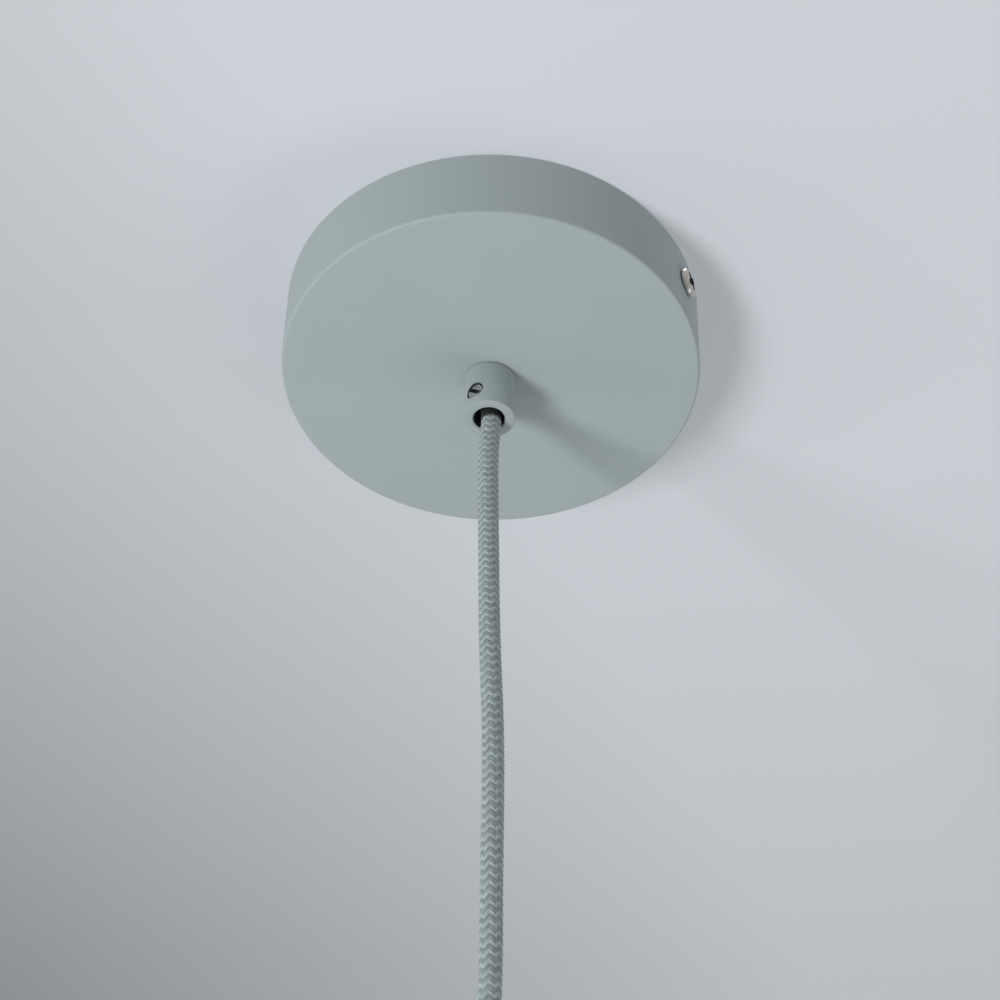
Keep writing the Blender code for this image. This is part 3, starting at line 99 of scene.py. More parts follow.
class Graph:
    """Writer of a material's or a world's nodes."""

    def __init__(self, owner: bpy.types.Material | bpy.types.World, shader: str = "Principled BSDF") -> None:
        """Start with the shader that the owner has.

        Args:
            owner: The material or world.
            shader: Name of its shader node.
        """
        owner.use_nodes = True
        self.tree = owner.node_tree
        self.shader = self.tree.nodes[shader]

    def node(self, kind: str, inputs: dict | None = None, **settings: object) -> bpy.types.Node:
        """Add a node.

        Args:
            kind: Type name of the node.
            inputs: Values or output sockets for its inputs, by the input's name or number.
            settings: Properties of the node.

        Returns:
            The node.
        """
        node = self.tree.nodes.new(kind)
        for key, value in settings.items():
            setattr(node, key, value)
        for key, value in (inputs or {}).items():
            self.feed(node.inputs[key], value)
        return node

    def feed(self, socket: bpy.types.NodeSocket, value: object) -> None:
        """Link an output to a socket, or set the socket's own value."""
        if isinstance(value, bpy.types.NodeSocket):
            self.tree.links.new(value, socket)
        else:
            socket.default_value = value

    def noise(self, vector: object, scale: float, detail: float = 2.0, rough: float = 0.5) -> Output:
        """Noise from 0 to 1.

        Args:
            vector: Output socket with the coordinates.
            scale: Features per metre or per unit of the coordinates.
            detail: Octaves.
            rough: Roughness of the octaves.

        Returns:
            The noise's value.
        """
        inputs = {"Vector": vector, "Scale": scale, "Detail": detail, "Roughness": rough}
        return self.node("ShaderNodeTexNoise", inputs).outputs[0]

    def place(self, stretch: tuple[float, float, float] = (1, 1, 1)) -> Output:
        """Object coordinates, stretched along each axis."""
        coordinates = self.node("ShaderNodeTexCoord").outputs["Object"]
        return self.node("ShaderNodeMapping", {"Vector": coordinates, "Scale": stretch}).outputs[0]

    def math(self, operation: str, first: object, second: object = 0.0) -> Output:
        """Result of a sum on one or two values."""
        return self.node("ShaderNodeMath", {0: first, 1: second}, operation=operation).outputs[0]

    def ramp(self, value: object, low: float, high: float, to_low: float, to_high: float) -> Output:
        """Value taken from one range to another, held at the range's ends."""
        inputs = {"Value": value, "From Min": low, "From Max": high, "To Min": to_low, "To Max": to_high}
        return self.node("ShaderNodeMapRange", inputs).outputs[0]

    def spread(self, noise: object, low: float, high: float) -> Output:
        """Noise taken from the values that it usually has to a range."""
        return self.ramp(noise, 0.3, 0.7, low, high)

    def along(self, place: object, way: Sequence[float]) -> Output:
        """How far a place lies along a direction of the photograph's frame."""
        inputs = {0: place, 1: photo_way(way)}
        return self.node("ShaderNodeVectorMath", inputs, operation="DOT_PRODUCT").outputs["Value"]

    def scaled(self, colour: object, factor: object) -> Output:
        """Colour made lighter or darker by a factor."""
        return self.node("ShaderNodeVectorMath", {0: colour, 3: factor}, operation="SCALE").outputs[0]

    def vary(self, share: object, colour: Colour, low: float, high: float) -> Output:
        """Colour that a share takes from `low` times as light to `high` times."""
        return self.mix(share, shaded(colour, low), shaded(colour, high))

    def mix(self, share: object, first: object, second: object) -> Output:
        """Mix of two colours."""
        node = self.node("ShaderNodeMix", data_type="RGBA")
        self.feed(node.inputs["Factor"], share)
        self.feed(node.inputs["A"], with_alpha(first))
        self.feed(node.inputs["B"], with_alpha(second))
        return node.outputs["Result"]

    def bump(self, height: object, depth: float, strength: float = 1.0) -> None:
        """Raise the surface by a height from 0 to 1, `depth` metres high."""
        inputs = {"Height": height, "Distance": depth, "Strength": strength}
        self.feed(self.shader.inputs["Normal"], self.node("ShaderNodeBump", inputs).outputs[0])

    def set(self, **sockets: object) -> None:
        """Feed the shader's inputs, named with underscores for spaces."""
        for name, value in sockets.items():
            self.feed(self.shader.inputs[name.replace("_", " ")], with_alpha(value))


def with_alpha(value: object) -> object:
    """Add the alpha that a colour socket wants to a colour of three numbers."""
    return (*value, 1.0) if isinstance(value, tuple) and len(value) == 3 else value


def shaded(colour: Colour, factor: float) -> Colour:
    """The colour made lighter or darker."""
    return tuple(min(1.0, channel * factor) for channel in colour)


@dataclass(frozen=True)
class Paint:
    """Matt sprayed paint: faint clouds of tone and a fine orange peel."""

    name: str
    slot: str
    colour: Colour
    roughness: float = 0.55
    uneven: tuple[float, float] = (-0.04, 0.05)  # of the roughness
    cloud: float = 0.03  # how much the tone varies
    cloud_scale: float = 45.0
    speck_scale: float = 2600.0
    peel_pitch: float = 0.0009
    peel_depth: float = 0.000012

    def write(self, graph: Graph) -> None:
        """Write the finish into a material's nodes."""
        place = graph.place()
        clouds = graph.noise(place, self.cloud_scale, 3.0)
        speck = graph.ramp(graph.noise(place, self.speck_scale, 1.0), 0.35, 0.65, 0.0, 1.0)
        tone = graph.vary(clouds, self.colour, 1 - self.cloud, 1 + self.cloud)
        graph.set(Base_Color=graph.mix(speck, shaded(self.colour, 1 - self.cloud / 2), tone))
        graph.set(Roughness=graph.spread(clouds, *(self.roughness + step for step in self.uneven)))
        graph.set(Specular_IOR_Level=0.4)
        graph.bump(graph.noise(place, 1 / self.peel_pitch, 2.0, 0.4), self.peel_depth)


@dataclass(frozen=True)
class Metal:
    """Bare or plated metal: tone that drifts, fine scuffs and a slightly uneven plating."""

    name: str
    slot: str
    colour: Colour
    roughness: float
    uneven: tuple[float, float] = (0.85, 1.25)  # shares of the roughness
    drift: float = 0.06
    drift_scale: float = 160.0
    scuff_scale: float = 900.0
    scuff_stretch: float = 7.0  # how much finer the scuffs are along Z
    scuff_depth: float = 0.000006

    def write(self, graph: Graph) -> None:
        """Write the finish into a material's nodes."""
        drift = graph.noise(graph.place(), self.drift_scale, 3.0)
        scuff = graph.noise(graph.place((1, 1, self.scuff_stretch)), self.scuff_scale, 3.0, 0.6)
        graph.set(Base_Color=graph.vary(drift, self.colour, 1 - self.drift, 1 + self.drift), Metallic=1.0)
        graph.set(Roughness=graph.spread(scuff, *(self.roughness * share for share in self.uneven)))
        graph.bump(scuff, self.scuff_depth)


@dataclass(frozen=True)
class Moulding:
    """Moulded plastic or glazed insulator."""

    name: str
    slot: str
    colour: Colour
    roughness: float
    coat: float = 0.0
    uneven: tuple[float, float] = (0.9, 1.15)  # shares of the roughness
    cloud_scale: float = 120.0
    grain_scale: float = 1800.0
    grain_depth: float = 0.000008

    def write(self, graph: Graph) -> None:
        """Write the finish into a material's nodes."""
        place = graph.place()
        clouds = graph.noise(place, self.cloud_scale)
        grain = graph.noise(place, self.grain_scale)
        graph.set(Base_Color=graph.vary(clouds, self.colour, 0.96, 1.02))
        graph.set(Roughness=graph.spread(grain, *(self.roughness * share for share in self.uneven)))
        graph.set(Coat_Weight=self.coat, Coat_Roughness=0.12)
        graph.bump(grain, self.grain_depth)


@dataclass(frozen=True)
class Insulation:
    """Soft plastic of a core, plain or with a second colour in two stripes along it."""

    name: str
    slot: str
    colour: Colour
    stripe: Colour | None = None
    roughness: float = 0.42
    uneven: float = 0.1  # how much rougher it is in places
    cloud_scale: float = 300.0
    grain_scale: float = 2200.0
    grain_depth: float = 0.000006

    def write(self, graph: Graph) -> None:
        """Write the finish into a material's nodes."""
        place = graph.place()
        tone = graph.vary(graph.noise(place, self.cloud_scale), self.colour, 0.92, 1.06)
        if self.stripe:
            along = graph.node("ShaderNodeSeparateXYZ", {0: graph.node("ShaderNodeTexCoord").outputs["UV"]})
            wave = graph.math("PINGPONG", graph.math("MULTIPLY", along.outputs[0], 2.0), 0.5)
            tone = graph.mix(graph.ramp(wave, 0.2, 0.23, 0.0, 1.0), tone, self.stripe)
        grain = graph.noise(place, self.grain_scale)
        rough = graph.spread(grain, self.roughness, self.roughness + self.uneven)
        graph.set(Base_Color=tone, Roughness=rough)
        graph.bump(grain, self.grain_depth)


@dataclass(frozen=True)
class Braid:
    """Two-colour textile sleeve. The mesh's second texture coordinate counts the colour bands."""

    name: str
    slot: str
    light: Colour
    dark: Colour
    # Painted shade in the grip's mouth: two heights there, and the sleeve's tone above them, where the light
    # fails
    mouth: tuple[float, float, float] = (-0.0443, -0.0431, 0.04)
    light_share: float = 0.52
    edge: float = 0.10  # blur between the bands, in periods
    fray: float = 0.16  # how far the bands' edges wander, in periods
    threads: float = 7.0  # threads across a float
    float_tones: tuple[float, float] = (0.9, 1.08)  # of the darkest and the lightest float
    thread_tones: tuple[float, float] = (0.78, 1.14)  # between the threads and on them
    fuzz: float = 0.35  # height of the fuzz, as a share of the threads'
    relief: float = 0.00009
    relief_strength: float = 0.8

    def write(self, graph: Graph) -> None:
        """Write the finish into a material's nodes."""
        uv = graph.node("ShaderNodeTexCoord").outputs["UV"]
        split = graph.node("ShaderNodeSeparateXYZ", {0: uv})
        column, phase = split.outputs[0], split.outputs[1]
        fray = graph.noise(graph.place(), 3500.0)
        wobble = graph.math("MULTIPLY", graph.math("SUBTRACT", fray, 0.5), self.fray)
        band = graph.math("FRACT", graph.math("ADD", phase, wobble))
        rise = graph.ramp(band, 0.0, self.edge, 0.0, 1.0)
        fall = graph.ramp(band, self.light_share, self.light_share + self.edge, 1.0, 0.0)
        share = graph.math("MINIMUM", rise, fall)
        cell = graph.node(
            "ShaderNodeCombineXYZ",
            {0: graph.math("FLOOR", column), 1: graph.math("FLOOR", graph.math("MULTIPLY", phase, 2.0))},
        ).outputs[0]
        chance = graph.node("ShaderNodeTexWhiteNoise", {"Vector": cell}, noise_dimensions="2D")
        fibre_place = graph.node("ShaderNodeMapping", {"Vector": uv, "Scale": (1.3, 4 * self.threads, 1)})
        fibre = graph.noise(fibre_place.outputs[0], 1.0, 3.0, 0.6)
        tone = graph.mix(share, self.dark, self.light)
        of_float = graph.ramp(chance.outputs["Value"], 0, 1, *self.float_tones)
        shade = graph.math("MULTIPLY", of_float, graph.spread(fibre, *self.thread_tones))
        height = graph.node("ShaderNodeSeparateXYZ", {0: graph.place()}).outputs[2]
        low, high, least = self.mouth
        # Painted shade: the sleeve grows darker above the grip's mouth, where little light reaches it
        shade = graph.math("MULTIPLY", shade, graph.ramp(height, low, high, 1.0, least))
        graph.set(Base_Color=graph.scaled(tone, shade), Roughness=0.82, Specular_IOR_Level=0.25)
        graph.set(Sheen_Weight=0.25, Sheen_Roughness=0.4)
        fuzz = graph.math("MULTIPLY", graph.noise(graph.place(), 9000.0), self.fuzz)
        graph.bump(graph.math("ADD", fibre, fuzz), self.relief, self.relief_strength)


Finish = Paint | Metal | Moulding | Insulation | Braid

GREY_PAINT = Paint("sprayed_grey_paint", "grey_paint", (0.334, 0.388, 0.396))
# The grey paint a little darker for the grips: painted shade, as they hang in the canopy's shade
SHADED_GRIP_PAINT = Paint("grey_paint_shaded_for_grip", "grey_paint", (0.320, 0.371, 0.379))
# Near-black painted shade for the grips' bores, seats and grub screws' holes
GRIP_PAINTED_SHADE = Paint("painted_shade_in_bore", "grey_paint", (0.035, 0.042, 0.045), roughness=0.6)
STEEL = Metal("zinc_plated_steel", "plated_steel", (0.62, 0.62, 0.60), 0.32)
NICKEL = Metal("nickel_plating", "nickel", (0.62, 0.59, 0.55), 0.27)
BRASS = Metal("turned_brass", "brass", (0.78, 0.57, 0.28), 0.28)
DULL_STEEL = Metal("dull_steel", "plated_steel", (0.52, 0.53, 0.55), 0.27)
NYLON = Moulding("moulded_nylon", "white_nylon", (0.80, 0.80, 0.77), 0.45)
# Near-black painted shade inside the cross recesses
RECESS_PAINTED_SHADE = Moulding("painted_recess_shade", "nickel", (0.022, 0.019, 0.016), 0.8)
INSULATOR = Moulding("moulded_insulator", "white_insulator", (0.84, 0.83, 0.79), 0.3, coat=0.6)
BROWN_CORE = Insulation("brown_core_plastic", "brown_insulation", (0.16, 0.06, 0.03))
BLUE_CORE = Insulation("blue_core_plastic", "blue_insulation", (0.03, 0.12, 0.42))
EARTH_CORE = Insulation("striped_core_plastic", "earth_insulation", (0.06, 0.30, 0.04), (0.72, 0.60, 0.03))
SLEEVE = Moulding("shrunk_sleeve_plastic", "shrink_sleeve", (0.03, 0.03, 0.03), 0.5)
TEXTILE = Braid("braided_textile", "textile_sleeve", (0.385, 0.443, 0.451), (0.248, 0.297, 0.305))


def material_of(finish: Finish) -> bpy.types.Material:
    """The material of a finish, written once."""
    known = bpy.data.materials.get(finish.name)
    if known:
        return known
    material = bpy.data.materials.new(finish.name)
    finish.write(Graph(material))
    return material


def fit(obj: bpy.types.Object, finish: Finish, *nodes: str) -> bpy.types.Object:
    """Dress a piece, fix it to the light and let it stand for nodes of the model.

    Args:
        obj: The piece.
        finish: Its finish.
        nodes: The nodes that it replaces.

    Returns:
        The piece.
    """
    if not obj.data.materials:
        obj.data.materials.append(material_of(finish))
    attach(obj, ROOT)
    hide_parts(*nodes)
    log.info("%s: %d faces, %s", obj.name, len(obj.data.polygons), finish.name)
    return obj


def span(node: str) -> tuple[Vector, Vector]:
    """Lowest and highest corner of a node of the model."""
    low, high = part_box(node)
    return Vector(low), Vector(high)


def moved(obj: bpy.types.Object, place: Matrix) -> bpy.types.Object:
    """Move a piece's mesh and give the piece back."""
    obj.data.transform(place)
    return obj


def link(name: str, data: bpy.types.ID) -> bpy.types.Object:
    """Add an object to the scene."""
    obj = bpy.data.objects.new(name, data)
    bpy.context.scene.collection.objects.link(obj)
    return obj


def shift(x: float, y: float, z: float) -> Matrix:
    """Matrix that moves by x, y and z."""
    return Matrix.Translation((x, y, z))


def spin(angle: float, axis: str = "Z") -> Matrix:
    """Matrix that turns by an angle about an axis."""
    return Matrix.Rotation(angle, 4, axis)


def facing(way: Vector) -> Matrix:
    """Matrix that turns the Z axis to a direction."""
    return way.to_track_quat("Z", "Y").to_matrix().to_4x4()


def across_x(sign: int = 1) -> Matrix:
    """Matrix that takes a flat outline's x to Y and its y to Z, and its height to X or to -X."""
    return Matrix(((0, 0, sign, 0), (1, 0, 0, 0), (0, 1, 0, 0), (0, 0, 0, 1)))


def photo_way(way: Sequence[float]) -> Vector:
    """A direction of the photograph's frame in the light's own frame."""
    return (spin(PHOTO_TURN) @ Vector(way)).normalized()


def rectangle(half_x: float, half_y: float) -> Outline:
    """Corners of a rectangle about the origin."""
    return [(-half_x, -half_y), (half_x, -half_y), (half_x, half_y), (-half_x, half_y)]


def arc(centre: tuple[float, float], radius: float, start: float, end: float, steps: int) -> Outline:
    """Points of an arc.

    Args:
        centre: Centre of the arc.
        radius: Its radius.
        start: Angle of the first point in degrees.
        end: Angle of the last point in degrees.
        steps: Number of stretches.

    Returns:
        The points.
    """
    angles = (math.radians(start + (end - start) * step / steps) for step in range(steps + 1))
    return [(centre[0] + radius * math.cos(a), centre[1] + radius * math.sin(a)) for a in angles]


def softened(outline: Outline, radius: float, steps: int = 3, straight: float = 165.0,
             most: float = 0.45) -> Outline:
    """Round the corners of a closed outline, as a real edge is.

    Args:
        outline: The corners.
        radius: Radius of the rounding, less where an edge is too short for it.
        steps: Stretches of each rounding.
        straight: Angle in degrees from which a corner counts as part of a curve.
        most: Share of an edge that one rounding may take.

    Returns:
        The new outline.
    """
    result: Outline = []
    count = len(outline)
    for index, corner in enumerate(outline):
        here = Vector(corner)
        back = Vector(outline[index - 1]) - here
        ahead = Vector(outline[(index + 1) % count]) - here
        tiny = min(back.length, ahead.length) < EXACT
        if tiny or corner[0] == 0 or back.angle(ahead) > math.radians(straight):
            result.append(corner)
            continue
        trim = radius / math.tan(back.angle(ahead) / 2)
        start = here + back.normalized() * min(trim, most * back.length)
        end = here + ahead.normalized() * min(trim, most * ahead.length)
        for step in range(steps + 1):
            t = step / steps
            result.append(tuple((1 - t) ** 2 * start + 2 * t * (1 - t) * here + t * t * end))
    return result


def add_mesh(name: str, bm: bmesh.types.BMesh, sharp: float = SHARP) -> bpy.types.Object:
    """Turn a bmesh into an object with outward faces and smooth round sides.

    Args:
        name: Name of the object.
        bm: The bmesh, which is freed.
        sharp: Angle in degrees from which an edge stays sharp.

    Returns:
        The object.
    """
    bmesh.ops.recalc_face_normals(bm, faces=bm.faces)
    mesh = bpy.data.meshes.new(name)
    bm.to_mesh(mesh)
    bm.free()
    mesh.shade_smooth()
    mesh.set_sharp_from_angle(angle=math.radians(sharp))
    return link(name, mesh)


def turned(name: str, profile: Outline, segments: int = 64, edge: float = 0.0) -> bpy.types.Object:
    """Revolve a (radius, height) outline about Z.

    Args:
        name: Name of the object.
        profile: The outline: closed, or open with both ends on the axis.
        segments: Faces round the axis.
        edge: Radius of its small edges.

    Returns:
        The object.
    """
    closed = profile[0][0] != 0
    points = softened(profile, edge) if edge else profile
    bm = bmesh.new()
    rings = []
    for radius, height in points:
        if radius == 0:
            rings.append([bm.verts.new((0, 0, height))] * segments)
            continue
        angles = (math.tau * segment / segments for segment in range(segments))
        rings.append([bm.verts.new((radius * math.cos(a), radius * math.sin(a), height)) for a in angles])
    pairs = list(zip(rings, rings[1:]))
    if closed:
        pairs.append((rings[-1], rings[0]))
    for below, above in pairs:
        for segment in range(segments):
            following = (segment + 1) % segments
            corners = (below[segment], below[following], above[following], above[segment])
            bm.faces.new(dict.fromkeys(corners))
    return add_mesh(name, bm)


def prism(name: str, outline: Outline, low: float, high: float, edge: float = 0.0,
          upright: bool = False) -> bpy.types.Object:
    """Extrude a flat (x, y) outline from one height to another, with its long edges rounded.

    Args:
        name: Name of the object.
        outline: The outline.
        low: Height of the lower face.
        high: Height of the upper face.
        edge: Radius of the edges round both faces.
        upright: Whether the upright edges are rounded too.

    Returns:
        The object.
    """
    bm = bmesh.new()
    base = bm.faces.new([bm.verts.new((x, y, low)) for x, y in outline])
    side = bmesh.ops.extrude_face_region(bm, geom=[base])
    lifted = [item for item in side["geom"] if isinstance(item, bmesh.types.BMVert)]
    bmesh.ops.translate(bm, verts=lifted, vec=(0, 0, high - low))
    if edge:
        rims = [e for e in bm.edges if upright or abs(e.verts[0].co.z - e.verts[1].co.z) < EXACT]
        shape = {"segments": 2 + upright, "profile": 0.5, "affect": "EDGES", "clamp_overlap": True}
        bmesh.ops.bevel(bm, geom=rims, offset=edge, **shape)
    return add_mesh(name, bm)


def folded(name: str, outline: Outline, width: float, edge: float = 0.0) -> bpy.types.Object:
    """Strip folded to an (x, z) outline, its width along Y."""
    return moved(prism(name, outline, -width / 2, width / 2, edge), spin(math.pi / 2, "X"))


def lofted(name: str, columns: Sequence[tuple[float, Outline]], sharp: float = SHARP) -> bpy.types.Object:
    """Ring through closed (radius, height) outlines that stand at angles round Z.

    Args:
        name: Name of the object.
        columns: Angle and outline of each, all with as many points.
        sharp: Angle in degrees from which an edge stays sharp.

    Returns:
        The object.
    """
    bm = bmesh.new()
    grid = []
    for a, outline in columns:
        grid.append([bm.verts.new((r * math.cos(a), r * math.sin(a), z)) for r, z in outline])
    for here, there in zip(grid, grid[1:] + grid[:1]):
        for row in range(len(here)):
            below = (row + 1) % len(here)
            bm.faces.new((here[row], there[row], there[below], here[below]))
    bmesh.ops.remove_doubles(bm, verts=bm.verts, dist=EXACT)
    return add_mesh(name, bm, sharp)


def drill(name: str, radius: float, start: Sequence[float], end: Sequence[float],
          segments: int = 48) -> bpy.types.Object:
    """Round cutter between two points.

    Args:
        name: Name of the object.
        radius: Radius of the hole.
        start: Inner end.
        end: Outer end.
        segments: Faces round it.

    Returns:
        The cutter.
    """
    way = Vector(end) - Vector(start)
    obj = turned(name, [(0, 0), (radius, 0), (radius, way.length), (0, way.length)], segments)
    return moved(obj, shift(*start) @ facing(way) @ spin(OFF_GRID))


def drill_along_z(name: str, radius: float, place: Sequence[float], heights: tuple[float, float],
                  segments: int = 48) -> bpy.types.Object:
    """Round cutter along Z.

    Args:
        name: Name of the object.
        radius: Radius of the hole.
        place: Its x and y.
        heights: Height of its start and of its end.
        segments: Faces round it.

    Returns:
        The cutter.
    """
    return drill(name, radius, *((place[0], place[1], height) for height in heights), segments)


def carve(obj: bpy.types.Object, *tools: bpy.types.Object, join: bool = False) -> bpy.types.Object:
    """Cut tools out of a piece, or join them to it, and remove the tools.

    Args:
        obj: The piece.
        tools: The cutters or additions.
        join: Whether the tools are added.

    Returns:
        The piece.
    """
    for tool in tools:
        modifier = obj.modifiers.new(tool.name, "BOOLEAN")
        modifier.operation = "UNION" if join else "DIFFERENCE"
        modifier.object = tool
    evaluated = obj.evaluated_get(bpy.context.evaluated_depsgraph_get())
    mesh = bpy.data.meshes.new_from_object(evaluated)
    obj.modifiers.clear()
    old, obj.data = obj.data, mesh
    mesh.name = old.name
    bpy.data.meshes.remove(old)
    for tool in tools:
        bpy.data.meshes.remove(tool.data)
    mesh.shade_smooth()
    mesh.set_sharp_from_angle(angle=math.radians(SHARP))
    return obj


def wind(obj: bpy.types.Object, radius: float, low: float, high: float, pitch: float, depth: float) -> None:
    """Cut a screw thread into the rows of a turned shank.

    Args:
        obj: The turned piece, its axis on Z.
        radius: Radius of the shank.
        low: Lower end of the thread.
        high: Upper end of the thread.
        pitch: Pitch of the thread.
        depth: Depth of its grooves.
    """
    for vertex in obj.data.vertices:
        x, y, z = vertex.co
        if abs(math.hypot(x, y) - radius) > EXACT or not low - EXACT <= z <= high + EXACT:
            continue
        fade = min(1.0, (z - low) / pitch, (high - z) / pitch)
        swing = abs(2 * ((z / pitch - math.atan2(y, x) / math.tau) % 1.0) - 1)
        shrink = 1 - depth * fade * swing / radius
        vertex.co.x, vertex.co.y = x * shrink, y * shrink


def rows(radius: float, low: float, high: float, pitch: float, per_pitch: int = 8) -> Outline:
    """Profile points up a shank, close enough together for a thread."""
    count = max(2, round((high - low) / pitch * per_pitch))
    return [(radius, low + (high - low) * step / count) for step in range(count + 1)]


def headless(name: str, radius: float, length: float, chamfers: tuple[float, float],
             thread: tuple[float, float], slot: tuple[float, float, float],
             segments: int) -> bpy.types.Object:
    """Threaded screw without a head, from height 0 up, with a slot across one end.

    Args:
        name: Name of the object.
        radius: Its radius.
        length: Its length.
        chamfers: Chamfer of its lower and of its upper end.
        thread: Pitch and depth of its thread.
        slot: Width of the slot, and the heights between which it is cut.
        segments: Faces round it.

    Returns:
        The screw.
    """
    low, high = chamfers
    shank = rows(radius, low, length - high, thread[0])
    screw = turned(name, [(0, 0), (radius - low, 0), *shank, (radius - high, length), (0, length)], segments)
    wind(screw, radius, low, length - high, *thread)
    return carve(screw, prism("slot_tool", rectangle(2 * radius, slot[0] / 2), *slot[1:]))


def smooth_route(points: Sequence[Vector], step: float) -> list[Vector]:
    """Points along a smooth curve through the given ones.

    Args:
        points: The points that the curve passes through.
        step: Rough distance between the new points.

    Returns:
        The new points.
    """
    padded = [2 * points[0] - points[1], *points, 2 * points[-1] - points[-2]]
    route = [points[0]]
    for before, start, end, after in zip(padded, padded[1:], padded[2:], padded[3:]):
        count = max(1, round((end - start).length / step))
        for index in range(1, count + 1):
            t = index / count
            cubic = 3 * start - before - 3 * end + after
            square = 2 * before - 5 * start + 4 * end - after
            route.append(0.5 * (2 * start + (end - before) * t + square * t**2 + cubic * t**3))
    return route


def bend(start: Vector, start_way: Sequence[float], end: Vector, end_way: Sequence[float], steps: int = 30,
         reach: float = 0.45) -> list[Vector]:
    """Smooth bend of a core.

    Args:
        start: First point.
        start_way: Direction there.
        end: Last point.
        end_way: Direction there.
        steps: Number of stretches.
        reach: Pull of both directions, as a share of the span.

    Returns:
        Points of the bend.
    """
    pull = (end - start).length * reach
    first = start + Vector(start_way).normalized() * pull
    last = end - Vector(end_way).normalized() * pull
    points = []
    for step in range(steps + 1):
        t = step / steps
        u = 1 - t
        points.append(u**3 * start + 3 * u * u * t * first + 3 * u * t * t * last + t**3 * end)
    return points


def frames_along(route: Sequence[Vector]) -> list[tuple[Vector, Vector]]:
    """Two cross directions at each point of a route, turned as little as possible from one to the next."""
    neighbours = zip(route[:1] + route[:-1], route[1:] + route[-1:])
    ways = [(after - before).normalized() for before, after in neighbours]
    side = Vector((1, 0, 0)) if abs(ways[0].x) < 0.9 else Vector((0, 1, 0))
    frames = []
    for way in ways:
        side = (side - way * side.dot(way)).normalized()
        frames.append((side, way.cross(side)))
    return frames


def swept(name: str, route: Sequence[Vector], radius: float, columns: int = 24) -> bpy.types.Object:
    """Round tube along a route with flat ends, its texture coordinates round and along it.

    Args:
        name: Name of the object.
        route: Points of its centre line.
        radius: Its radius.
        columns: Faces round it.

    Returns:
        The object.
    """
    bm = bmesh.new()
    uv = bm.loops.layers.uv.new("lay")
    frames = frames_along(route)
    rings = []
    for point, (side, up) in zip(route, frames):
        angles = [math.tau * column / columns for column in range(columns)]
        rings.append([bm.verts.new(point + radius * (side * math.cos(a) + up * math.sin(a))) for a in angles])
    along = [0.0]
    for before, after in zip(route, route[1:]):
        along.append(along[-1] + (after - before).length)
    for row, (here, there) in enumerate(zip(rings, rings[1:])):
        for column in range(columns):
            following = (column + 1) % columns
            face = bm.faces.new((here[column], here[following], there[following], there[column]))
            marks = ((column, row), (column + 1, row), (column + 1, row + 1), (column, row + 1))
            for loop, (across, up_row) in zip(face.loops, marks):
                loop[uv].uv = (across / columns, along[up_row])
    bm.faces.new(rings[0])
    bm.faces.new(rings[-1])
    return add_mesh(name, bm)


@dataclass
class PhotoCamera:
    """Camera at the photograph's place, fitted to the canopy's rim, the screw and the cord."""

    lens: float = 99.42
    sensor: float = 36.0
    place: tuple[float, float, float] = (0.0037307, -0.5374243, -0.6086851)
    pitch: float = 0.7813  # above the horizontal
    roll: float = 0.0279

    def build(self) -> None:
        """Add the camera and make it the scene's."""
        data = bpy.data.cameras.new("photo_camera")
        data.lens = self.lens
        data.sensor_width = self.sensor
        ahead = Vector((0, math.cos(self.pitch), math.sin(self.pitch)))
        up = Vector((0, -math.sin(self.pitch), math.cos(self.pitch)))
        right = Vector((1, 0, 0))
        tilted_right = math.cos(self.roll) * right + math.sin(self.roll) * up
        tilted_up = math.cos(self.roll) * up - math.sin(self.roll) * right
        axes = Matrix((tilted_right, tilted_up, -ahead)).transposed().to_4x4()
        camera = link("photo_camera", data)
        camera.matrix_world = spin(PHOTO_TURN) @ shift(*self.place) @ axes
        bpy.context.scene.camera = camera


@dataclass(frozen=True)
class Lamp:
    """Area lamp that looks at the canopy."""

    name: str
    way: Way  # from the canopy to it, in the photograph's frame
    power: float  # watts
    distance: float = 2.2
    size: tuple[float, float] = (0.9, 0.9)

    def build(self) -> None:
        """Add the lamp."""
        data = bpy.data.lights.new(self.name, "AREA")
        data.shape = "RECTANGLE"
        data.size, data.size_y = self.size
        data.energy = self.power
        way = photo_way(self.way)
        link(self.name, data).matrix_world = shift(*way * self.distance) @ facing(way)


